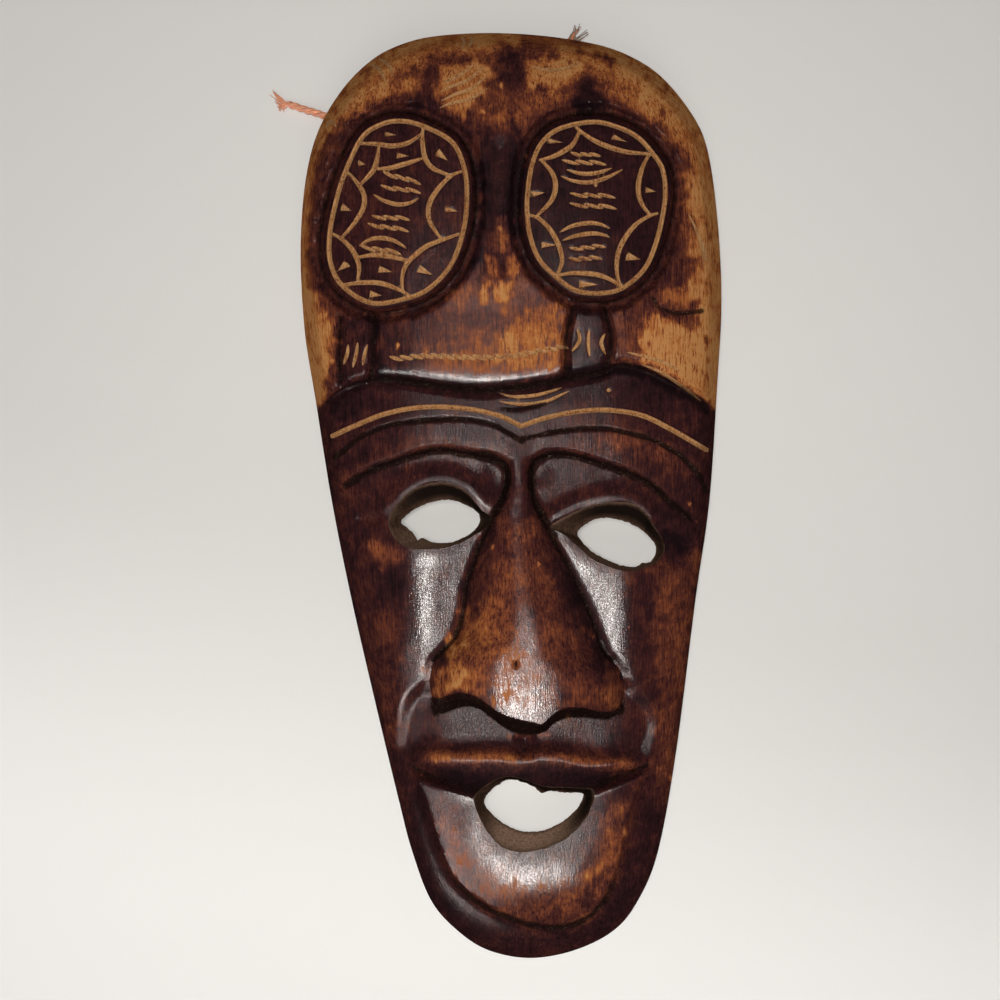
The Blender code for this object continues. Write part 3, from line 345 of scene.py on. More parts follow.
# Long shallow strokes in the rubbed parts of the head-dress
GOUGE_STROKES = [
    [(439, 108), (452, 103), (470, 99), (488, 88)], [(441, 101), (456, 94), (472, 88), (487, 75)],
    [(440, 92), (452, 86), (468, 80), (484, 66)], [(442, 83), (454, 78), (464, 72), (474, 64)],
    [(626, 352), (642, 356), (660, 361), (682, 372)], [(640, 364), (660, 372), (684, 388), (702, 402)],
    [(688, 214), (696, 230), (702, 250), (704, 270)], [(694, 226), (702, 244), (708, 262)],
    [(530, 66), (548, 70), (566, 68), (580, 62)],
]
LEFT_BROW_LINE = [(333, 436), (357, 425), (385, 414), (415, 408), (445, 407), (475, 410), (500, 416), (521, 426)]
RIGHT_BROW_LINE = [(521, 426), (545, 418), (575, 412), (605, 410), (640, 415), (670, 429), (706, 450)]
LEFT_FROWN_LINE = [
    (335, 458), (354, 442), (371, 432), (390, 425), (416, 421), (450, 419), (479, 421), (500, 428), (522, 442),
]
RIGHT_FROWN_LINE = [
    (522, 439), (549, 433), (577, 429), (605, 429), (626, 433), (647, 438), (668, 448), (682, 458), (696, 472),
    (706, 491),
]
BROW_EDGE = [
    (300, 505), (337, 490), (358, 477), (377, 467), (397, 461), (416, 454), (441, 450), (460, 452),
    (480, 456), (498, 460), (508, 464), (519, 466), (531, 463), (546, 455), (563, 454), (584, 458),
    (605, 465), (626, 472), (640, 478), (654, 487), (668, 500), (682, 511), (700, 530), (730, 560),
]
LEFT_EYE_RIM = [
    (389, 518), (399, 502), (414, 489), (432, 483), (448, 483), (463, 489), (474, 500), (482, 510),
    (492, 518), (486, 528), (473, 536), (458, 544), (445, 548), (428, 549), (410, 548), (397, 541), (390, 530),
]
LEFT_EYE_HOLE = [
    (401, 522), (409, 513), (419, 507), (432, 502), (444, 500), (456, 501), (468, 506), (476, 511),
    (480, 518), (478, 526), (470, 534), (458, 540), (445, 543), (432, 542), (422, 538), (418, 540.5), (414, 534),
    (408, 528),
]
RIGHT_EYE_RIM = [
    (549, 527), (563, 518), (579, 510), (598, 504), (615, 502), (633, 504), (646, 513), (655, 527),
    (662, 539), (664, 551), (656, 562), (641, 569), (626, 571), (609, 567), (591, 558), (576, 545), (561, 533),
]
RIGHT_EYE_HOLE = [
    (577, 534), (583, 526), (594, 520), (603, 518), (615, 519), (628, 523), (640, 529), (649, 537),
    (655, 545), (655, 554), (650, 562), (642, 563), (635, 567), (620, 565), (607, 560), (594, 553), (583, 543),
]
MOUTH_RIM = [
    (474, 797), (481, 789), (491, 782), (503, 777), (516, 777), (529, 781), (543, 786), (562, 787),
    (582, 788), (594, 790), (592, 806), (583, 822), (568, 837), (549, 847), (533, 851), (517, 852),
    (499, 845), (484, 826), (476, 809),
]
MOUTH_HOLE = [
    (484, 801), (490, 792), (498, 785), (506, 781), (516, 780), (527, 784), (535, 788), (541, 793), (552, 791),
    (568, 793), (583, 793), (580, 804), (573, 813), (562, 822), (548, 829), (534, 832), (516, 830),
    (503, 823), (493, 815), (487, 808),
]
NOSE_LOWER_EDGE = [
    (420, 692), (436, 696), (446, 695), (457, 692), (472, 694), (485, 702), (499, 712), (514, 718), (533, 722),
    (542, 724), (552, 715), (564, 708), (581, 707), (600, 711), (613, 710), (622, 702), (636, 692),
]
NOSE_FOOT = [
    (420, 716), (440, 714), (453, 709), (466, 706), (480, 709), (495, 720), (512, 731), (533, 734),
    (545, 731), (553, 723), (568, 717), (590, 717), (606, 719), (616, 715), (636, 710),
]
MUZZLE = [
    (436, 690), (424, 686), (412, 694), (404, 708), (400, 730), (399, 748), (410, 760), (424, 753),
    (456, 755), (495, 755), (520, 757), (543, 753), (562, 755), (590, 761), (619, 761), (642, 758),
    (650, 742), (654, 724), (648, 706), (638, 692), (626, 684), (600, 690), (530, 700),
]
LIP_RIDGE = [
    (410, 765), (424, 757), (456, 757), (495, 756), (520, 758), (543, 755), (562, 757), (590, 762),
    (619, 763), (647, 765),
]
LIP_FOOT = [
    (410, 765), (424, 773), (437, 778), (466, 786), (500, 792), (530, 795), (560, 792), (590, 786),
    (619, 776), (647, 765),
]
CHIN_PAD = [
    (404, 764), (412, 769), (425, 799), (435, 829), (445, 858), (459, 882), (483, 902), (506, 914),
    (530, 922), (554, 925), (578, 920), (594, 908), (607, 890), (617, 863), (623, 839), (631, 809),
    (640, 780), (652, 764), (620, 752), (530, 748), (440, 750),
]
CHIN_PAD_CORNER = 18


@dataclass
class Layout:
    """How plan points land on the mask: the outline fills the solid's box at the edge's height."""

    eye_height: float = 0.400
    edge_height: float = 0.008
    lean: float = math.radians(1.85)
    eye_plan: tuple[float, float] = (500.0, 500.0)
    outline: Points = field(default_factory=lambda: spline(OUTLINE, closed=True, step=3.4))

    def __post_init__(self) -> None:
        """Fit the plan to the solid's width and length."""
        self.box_low, self.box_high = (np.array(corner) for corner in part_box("mask"))
        upright = self.straighten(self.outline)
        low, high = upright.min(axis=0), upright.max(axis=0)
        self.scale = (self.box_high - self.box_low)[:2] / (high - low)
        self.eye = -(low + high) / 2 * self.scale

    def straighten(self, points: Points) -> Points:
        """Turn plan points upright about the eye, with y upwards."""
        x = np.asarray(points, float)[:, 0] - self.eye_plan[0]
        y = self.eye_plan[1] - np.asarray(points, float)[:, 1]
        turn, lift = math.cos(self.lean), math.sin(self.lean)
        return np.column_stack((x * turn + y * lift, y * turn - x * lift))

    def lay(self, points: Points, heights: Points | float) -> Points:
        """Return the places on the mask of plan points at heights in metres."""
        spread = (self.eye_height - heights) / (self.eye_height - self.edge_height)
        flat = self.straighten(points) * self.scale * np.reshape(spread, (-1, 1)) + self.eye
        return np.column_stack((flat, np.broadcast_to(heights, len(flat))))


class Tip(Enum):
    """How a cut's width runs along its length."""

    BLUNT = "blunt"
    TAPERED = "tapered"
    SWELLING = "swelling"
    WEDGE = "wedge"


@dataclass(frozen=True)
class Cut:
    """One stroke of the V-tool through the stain into bare wood."""

    line: Points
    half: float
    depth: float
    tip: Tip = Tip.BLUNT

    def half_at(self, along: Points) -> Points:
        """Return half the cut's width at shares of its length."""
        if self.tip is Tip.TAPERED:
            return self.half * np.sqrt(np.clip(np.sin(np.pi * along), 0, 1))
        if self.tip is Tip.SWELLING:
            return self.half * (0.58 + 0.5 * np.clip(np.sin(np.pi * along), 0, 1))
        if self.tip is Tip.WEDGE:
            return self.half * (1 - along)
        return np.full(len(along), self.half)

    def across(self, points: Points, reach: float) -> Points:
        """Return how far inside the cut's edge each point is, negative outside."""
        if self.tip is Tip.WEDGE:
            base, span = self.line[0], self.line[-1] - self.line[0]
            length = np.linalg.norm(span)
            forth = (points - base) @ span / length
            aside = np.abs((points - base) @ np.array((-span[1], span[0]))) / length
            slope = (self.half * (1 - forth / length) - aside) * length / math.hypot(length, self.half)
            return np.minimum(forth, slope)
        gap, along = gap_to(points, self.line, self.half + reach)
        return self.half_at(along) - gap


@dataclass
class HeadDress:
    """The raised cap with two oval bosses in moats, on two short stems."""

    cap_step: float = 4.6
    cap_round: float = 13.0
    border: float = 6.0
    moat_depth: float = 3.6
    moat_wall: float = 3.5
    moat_bank: tuple[float, float] = (7.0, 15.0)
    boss_rise: float = 1.6
    boss_swell: float = 0.5
    stem_half: float = 6.0
    stem_depth: float = 2.4
    valley: Line = ((500, 150), (499, 200), (500, 262))
    left_stem: tuple[Line, Line] = (((341, 318), (339, 350), (341, 381)), ((374, 314), (374, 345), (371, 378)))
    right_stem: tuple[Line, Line] = (((573, 306), (566, 340), (566, 376)), ((604, 308), (611, 340), (606, 372)))
    crescent: Line = ((652, 298), (660.5, 308), (678, 313.5), (701, 311))

    def __post_init__(self) -> None:
        """Draw the smooth lines."""
        self.edge = spline(CAP_EDGE)
        self.rings = [spline(ring, closed=True) for ring in (LEFT_RING, RIGHT_RING)]
        self.stems = [spline(side) for stem in (self.left_stem, self.right_stem) for side in stem]

    def moat(self, points: Points) -> Points:
        """Return how deep in a moat each point is, from 0 to 1."""
        depth = -groove(points, np.array(self.valley, float), 17.0, self.moat_depth * 0.28) / self.moat_depth
        low, high = self.moat_bank
        for ring in self.rings:
            outside = -depth_inside(points, ring, 40.0) - self.border
            ragged = 2.2 * roughness_at(points, 10.0, 77.0)
            bank = ease((outside + ragged - low) / (high - low))
            depth = np.maximum(depth, np.clip(outside / self.moat_wall, 0, 1) * (1 - bank))
        return depth

    def relief(self, points: Points) -> Points:
        """Return the head-dress's relief in millimetres."""
        over_edge = height_above(points, self.edge)
        relief = self.cap_step * rounded((over_edge + 1.0) / self.cap_round)
        relief += groove(points, self.edge + (0, 4), 6.0, 1.5)
        for ring in self.rings:
            inside = depth_inside(points, ring, 70.0) + self.border
            boss = self.boss_rise * rounded(inside / 5.0) + self.boss_swell * ease(inside / 60.0)
            relief += np.where(inside > 0, boss, 0)
        relief -= self.moat_depth * self.moat(points)
        for stem in self.stems:
            relief += groove(points, stem, self.stem_half, self.stem_depth)
        return relief + groove(points, spline(self.crescent), 5.0, 1.2, 0.3)

    def cuts(self, half: float, depth: float) -> list[Cut]:
        """Return the V-tool cuts of the ovals: rings, arcs, nicks, zigzags and bows."""
        cuts = [Cut(np.vstack((ring, ring[:1])), half, depth) for ring in self.rings]
        cuts += [Cut(spline(arc), half, depth * 0.9, Tip.SWELLING) for arc in LEFT_ARCS + RIGHT_ARCS]
        cuts += [Cut(np.array(ends, float), width / 2 + 0.4, depth * 0.7, Tip.WEDGE) for *ends, width in NICKS]
        cuts += [Cut(spline(bow), half * 0.95, depth * 0.7, Tip.TAPERED) for bow in BOWS]
        for start, end, height in ZIGZAGS:
            cuts += zigzag(start, end, height, half * 0.95, depth * 0.6)
        return cuts


def zigzag(start: tuple[float, float], end: tuple[float, float], height: float, half: float, depth: float,
           teeth: int = 3) -> list[Cut]:
    """Make a row of short slanted strokes that run into each other.

    Args:
        start: The row's left end.
        end: The row's right end.
        height: How far each stroke drops from its start to its end.
        half: Half a stroke's width.
        depth: A stroke's depth in millimetres.
        teeth: How many strokes the row has.

    Returns:
        The strokes, from left to right.
    """
    low, high = np.array(start, float), np.array(end, float)
    if teeth > 1:
        pull = (high - low) / np.linalg.norm(high - low) * 3.5
        low, high = low + pull, high - pull
    stride = (high - low) / teeth
    drop = np.array((0, height / 2))
    row = []
    for tooth in range(teeth):
        first = low + stride * (tooth - 0.16) - drop
        last = low + stride * (tooth + 1.16) + drop
        row.append(Cut(np.array((first, last)), half * 0.8, depth, Tip.TAPERED))
    return row


@dataclass
class Brow:
    """The forehead and brow, which stand over the eye sockets."""

    step: float = 5.6
    centre: float = 520.0
    reach: float = 170.0
    edge_round: float = 9.0

    def __post_init__(self) -> None:
        """Draw the smooth lines."""
        self.edge = spline(BROW_EDGE)
        self.light_lines = [spline(LEFT_BROW_LINE), spline(RIGHT_BROW_LINE)]
        self.dark_lines = [spline(LEFT_FROWN_LINE), spline(RIGHT_FROWN_LINE)]

    def relief(self, points: Points) -> Points:
        """Return the brow's relief in millimetres."""
        middle = hill((points[:, 0] - self.centre) / self.reach)
        over_edge = height_above(points, self.edge)
        return self.step * (0.55 + 0.45 * middle) * rounded((over_edge + 1.0) / self.edge_round)


@dataclass
class Eyes:
    """The lids round the eye holes, the pits beside the nose, the outer corners and the cheeks."""

    lid_rise: float = 1.9
    pits: Line = ((499, 479), (538, 473))
    pit_depth: float = 1.3
    pit_spread: float = 15.0
    crease: Line = ((352, 519), (370, 520), (388, 517))
    pocket: Line = ((656, 520), (675, 532), (690, 546), (692, 553), (676, 565), (656, 568), (662, 545))
    cheeks: Line = ((414, 612), (626, 604))
    cheek_spread: tuple[float, float] = (28.0, 75.0)
    cheek_rise: float = 1.4

    def relief(self, points: Points) -> Points:
        """Return the eyes' relief in millimetres."""
        relief = np.zeros(len(points))
        for rim in (LEFT_EYE_RIM, RIGHT_EYE_RIM):
            loop = spline(rim, closed=True)
            away = -depth_inside(points, loop, 40.0)
            upper = ease((loop[:, 1].mean() + 4 - points[:, 1]) / 24.0)
            relief += self.lid_rise * hill((away - 5.0) / 11.0) * (0.15 + 0.85 * upper)
        for pit in self.pits:
            relief -= self.pit_depth * hill(np.linalg.norm(points - pit, axis=1) / self.pit_spread)
        for corner in SOCKET_CORNERS:
            relief += groove(points, spline(corner), 6.0, 1.1, 0.25)
        relief += groove(points, np.array(self.crease, float), 7.0, 1.6, 0.3)
        relief -= 1.8 * ease((depth_inside(points, np.array(self.pocket, float), 20.0) + 4) / 8.0)
        for cheek in self.cheeks:
            away = np.linalg.norm((points - cheek) / self.cheek_spread, axis=1)
            relief += self.cheek_rise * hill(away)
        return relief


# Nose rows: plan y, middle x, half width, rise above the cheeks and roundness of the section
NOSE_ROWS = [
    (440, 519, 15, 5.6, 5.0), (466, 519, 13, 5.6, 5.0), (486, 519, 14, 5.8, 4.2), (503, 517, 18, 6.4, 3.2),
    (516, 517, 24, 7.1, 2.7), (528, 518, 29, 7.9, 2.4), (542, 518, 37, 8.9, 2.2), (564, 520, 47, 10.6, 2.1),
    (586, 522, 56, 12.3, 2.1), (609, 526, 62, 14.1, 2.2), (636, 527, 71, 16.1, 2.4), (650, 523, 80, 17.1, 2.7),
    (660, 523, 89, 17.8, 3.0), (672, 526, 95, 18.5, 3.3), (686, 527, 97, 19.0, 3.5), (705, 528, 94, 19.3, 3.5),
    (740, 528, 92, 19.3, 3.5),
]


@dataclass
class Nose:
    """The long nose: a ridge with rounded sides, cut off below by a steep underside."""

    root_fade: float = 12.0
    side_groove: float = 0.9
    pit: tuple[tuple[float, float], tuple[float, float]] = ((516, 662), (516, 666))
    pit_half: float = 2.8
    pit_depth: float = 1.3

    def __post_init__(self) -> None:
        """Draw the smooth lines."""
        self.rows = np.array(NOSE_ROWS, float)
        self.edge = spline(NOSE_LOWER_EDGE)
        self.foot = spline(NOSE_FOOT)

    def across(self, points: Points) -> tuple[Points, Points, Points]:
        """Return the share of the half width across the nose, the rise there and the roundness."""
        middle, half, rise, round_off = (
            np.interp(points[:, 1], self.rows[:, 0], column) for column in self.rows.T[1:]
        )
        return np.abs(points[:, 0] - middle) / half, rise, round_off

    def under(self, points: Points) -> Points:
        """Return how far down the underside each point is, 0 on the nose and 1 below it."""
        top = np.interp(points[:, 0], self.edge[:, 0], self.edge[:, 1])
        foot = np.interp(points[:, 0], self.foot[:, 0], self.foot[:, 1])
        return np.clip((points[:, 1] - top) / (foot - top), 0, 1)

    def relief(self, points: Points) -> Points:
        """Return the nose's relief in millimetres."""
        share, rise, round_off = self.across(points)
        rise = rise * ease((points[:, 1] - self.rows[0, 0]) / self.root_fade)
        return rise * np.clip(1 - share ** round_off, 0, 1) * (1 - self.under(points))

    def covers(self, points: Points) -> Points:
        """Return 1 for the points on the nose, less down its underside, and 0 for the rest."""
        return (self.across(points)[0] < 1) * (1 - self.under(points))

    def groove_relief(self, points: Points) -> Points:
        """Return the grooves along the nose's sides and the pit on its ridge."""
        on_face = ease((points[:, 1] - 500) / 20.0) * ease((700 - points[:, 1]) / 20.0)
        sides = -self.side_groove * hill((self.across(points)[0] - 1.0) * 12.0) * on_face
        return sides + groove(points, np.array(self.pit, float), self.pit_half, self.pit_depth)


@dataclass
class Mouth:
    """The hollow under the nose, the lip's ridge and slope, and the raised chin pad."""

    muzzle_depth: float = 2.6
    ridge_rise: float = 2.9
    foot_depth: float = 1.8
    lip_roundness: float = 1.9
    philtrum: Line = ((524, 732), (526, 745), (521, 758))
    philtrum_depth: float = 2.0
    pad_rise: float = 4.2
    pad_slope: float = 11.0
    chin_swell: float = 1.3
    swell_place: tuple[float, float] = (530.0, 892.0)
    swell_spread: tuple[float, float] = (62.0, 30.0)

    def __post_init__(self) -> None:
        """Draw the smooth lines."""
        self.ridge = spline(LIP_RIDGE)
        self.foot = spline(LIP_FOOT)
        self.muzzle = spline(MUZZLE, closed=True)
        self.pad = spline(CHIN_PAD, closed=True)

    def lip_relief(self, points: Points) -> Points:
        """Return the lip's ridge and slope in millimetres."""
        ridge_y = np.interp(points[:, 0], self.ridge[:, 0], self.ridge[:, 1])
        foot_y = np.interp(points[:, 0], self.foot[:, 0], self.foot[:, 1])
        left, right = LIP_RIDGE[0][0], LIP_RIDGE[-1][0]
        span = ease((points[:, 0] - left + 4) / 34.0) * ease((right + 4 - points[:, 0]) / 34.0)
        down = (points[:, 1] - ridge_y) / np.maximum(foot_y - ridge_y, 1.0)
        drop = (self.ridge_rise + self.foot_depth) * np.clip(down, 0, 1) ** self.lip_roundness
        above = self.ridge_rise * hill((ridge_y - points[:, 1]) / 12.0)
        below = -self.foot_depth * hill((points[:, 1] - foot_y) / 6.0)
        return span * np.where(down < 0, above, np.where(down > 1, below, self.ridge_rise - drop))

    def relief(self, points: Points, on_nose: Points) -> Points:
        """Return the mouth's and chin's relief in millimetres.

        Args:
            points: Plan points.
            on_nose: How far the nose covers each point, from 0 to 1.

        Returns:
            The relief at each point.
        """
        relief = -self.muzzle_depth * ease((depth_inside(points, self.muzzle, 20.0) + 7) / 17.0)
        relief *= 1 - on_nose
        relief += self.lip_relief(points)
        relief += groove(points, np.array(self.philtrum, float), 12.0, self.philtrum_depth, 0.2)
        step = 1 - rounded(-depth_inside(points, self.pad, 60.0) / self.pad_slope)
        foot_y = np.interp(points[:, 0], self.foot[:, 0], self.foot[:, 1])
        relief += self.pad_rise * step * ease((points[:, 1] - foot_y) / 11.0)
        from_swell = np.linalg.norm((points - self.swell_place) / self.swell_spread, axis=1)
        return relief + self.chin_swell * hill(from_swell) * step


# The rough grooves that run from the brow down to the eyes' inner corners, beside the nose's root
SOCKET_CORNERS = [
    [(470, 453), (488, 455), (500, 461), (507, 471), (507, 484), (502, 498), (495, 512)],
    [(566, 453), (548, 454), (536, 461), (530, 471), (530, 486), (535, 500), (545, 517), (556, 536)],
]
HOLLOW_CRACK = [(470, 265), (458, 284), (440, 300), (420, 309), (400, 313), (382, 315), (365, 318)]

# Rows of the smooth dome under the carving: plan y, crown in millimetres, reach from the outline
DOME_ROWS = [
    (33, 26.8, 130), (150, 27.8, 130), (300, 28.0, 125), (420, 27.6, 115), (470, 27.4, 110),
    (540, 26.9, 95), (640, 26.0, 85), (720, 25.2, 80), (760, 24.2, 78), (800, 22.4, 78),
    (850, 20.8, 78), (958, 17.0, 74),
]


@dataclass
class Carving:
    """The whole carved face: the dome, its features, the V-tool cuts and the knife's traces."""

    layout: Layout
    dome_shape: tuple[float, float] = (2.3, 2.1)
    fade: float = 14.0
    cut_width: float = 0.00155
    cut_depth: float = 0.75
    knife_marks: float = 0.11
    moat_tooling: float = 0.16
    head_dress: HeadDress = field(default_factory=HeadDress)
    brow: Brow = field(default_factory=Brow)
    eyes: Eyes = field(default_factory=Eyes)
    nose: Nose = field(default_factory=Nose)
    mouth: Mouth = field(default_factory=Mouth)

    def __post_init__(self) -> None:
        """Collect the cuts that show bare wood and those that stay dark."""
        half = self.cut_width / 2 / self.layout.scale[0]
        self.half = half
        self.light_cuts = self.head_dress.cuts(half, self.cut_depth)
        self.light_cuts += [Cut(line, half * 1.05, self.cut_depth) for line in self.brow.light_lines]
        self.light_cuts += [Cut(spline(cut, step=1.5), half * 0.8, 0.4, Tip.TAPERED) for cut in PLAIN_CUTS]
        self.light_cuts += [Cut(spline(cut, step=2.0), half * 0.75, 0.2, Tip.TAPERED) for cut in GOUGE_STROKES]
        rope = spline([(391, 359), (430, 356), (470, 357.5), (510, 356), (540, 351), (567, 346)], step=10.5)
        for first, last in zip(rope, rope[1:]):
            self.light_cuts += zigzag(first, last, 5.5, half * 1.05, 0.3, teeth=1)
        self.dark_cuts = [Cut(line, half * 1.35, self.cut_depth, Tip.TAPERED) for line in self.brow.dark_lines]
        self.dark_cuts.append(Cut(spline([(503, 409), (520, 408.5), (545, 404)]), half * 1.1, 0.6, Tip.TAPERED))

    def bare(self, points: Points, reach: float = 3.0) -> Points:
        """Return how far inside a bare cut each point is, in plan units, from -reach to reach."""
        return np.clip(self.nearness(points, reach, self.light_cuts), -reach, reach)

    def nearness(self, points: Points, reach: float, cuts: list[Cut] | None = None) -> Points:
        """Return how far inside the nearest cut each point is, -reach where none is near."""
        best = np.full(len(points), -reach)
        for cut in self.light_cuts + self.dark_cuts if cuts is None else cuts:
            best = np.maximum(best, cut.across(points, reach))
        return best

    def cut_relief(self, points: Points) -> Points:
        """Return the relief of every V-tool cut in millimetres."""
        relief = np.zeros(len(points))
        for cut in self.light_cuts + self.dark_cuts:
            relief = np.minimum(relief, -cut.depth * np.clip(cut.across(points, 1.0) / cut.half, 0, 1))
        return relief

    def tool_relief(self, points: Points) -> Points:
        """Return the knife's soft facets and the gouge's rough floor in the moats, in millimetres."""
        stretched = points * (1.0, 0.6)
        facets = roughness_at(stretched, 24.0, 3.1) + 0.4 * roughness_at(stretched, 9.0, 8.4)
        floor = roughness_at(points, 4.2, 15.0) + 0.6 * roughness_at(points, 2.1, 21.0)
        return self.knife_marks * facets + self.moat_tooling * floor * self.head_dress.moat(points)

    def height(self, points: Points) -> Points:
        """Return the height of the carved face at plan points, in metres."""
        rows = np.array(DOME_ROWS, float)
        inside = np.maximum(depth_inside(points, self.layout.outline), 0)
        crown, reach = (np.interp(points[:, 1], rows[:, 0], column) for column in rows.T[1:])
        outer, power = self.dome_shape
        dome = (1 - (1 - np.clip(inside / reach, 0, 1)) ** outer) ** (1 / power)
        relief = np.maximum(self.brow.relief(points), self.nose.relief(points))
        relief += self.nose.groove_relief(points) + self.head_dress.relief(points)
        relief += self.eyes.relief(points) + self.mouth.relief(points, self.nose.covers(points))
        relief += self.cut_relief(points) + self.tool_relief(points)
        edge = self.layout.edge_height
        return edge + (crown * MM - edge) * dome + relief * ease(inside / self.fade) * MM


@dataclass(frozen=True)
class Patch:
    """An area where the stain is rubbed thin, above 0, or darker, below 0, which in a few marked places is painted
    shade.
    """

    amount: float
    feather: float
    corners: Line

    def cover(self, points: Points, ragged: Points | float = 0.0) -> Points:
        """Return how far each point lies in the area, from 0 to 1, with a ragged border."""
        inside = depth_inside(points, np.array(self.corners, float), self.feather * 2.5)
        inside += ragged * (self.feather + 2.5)
        return ease((inside + self.feather) / (2 * self.feather))


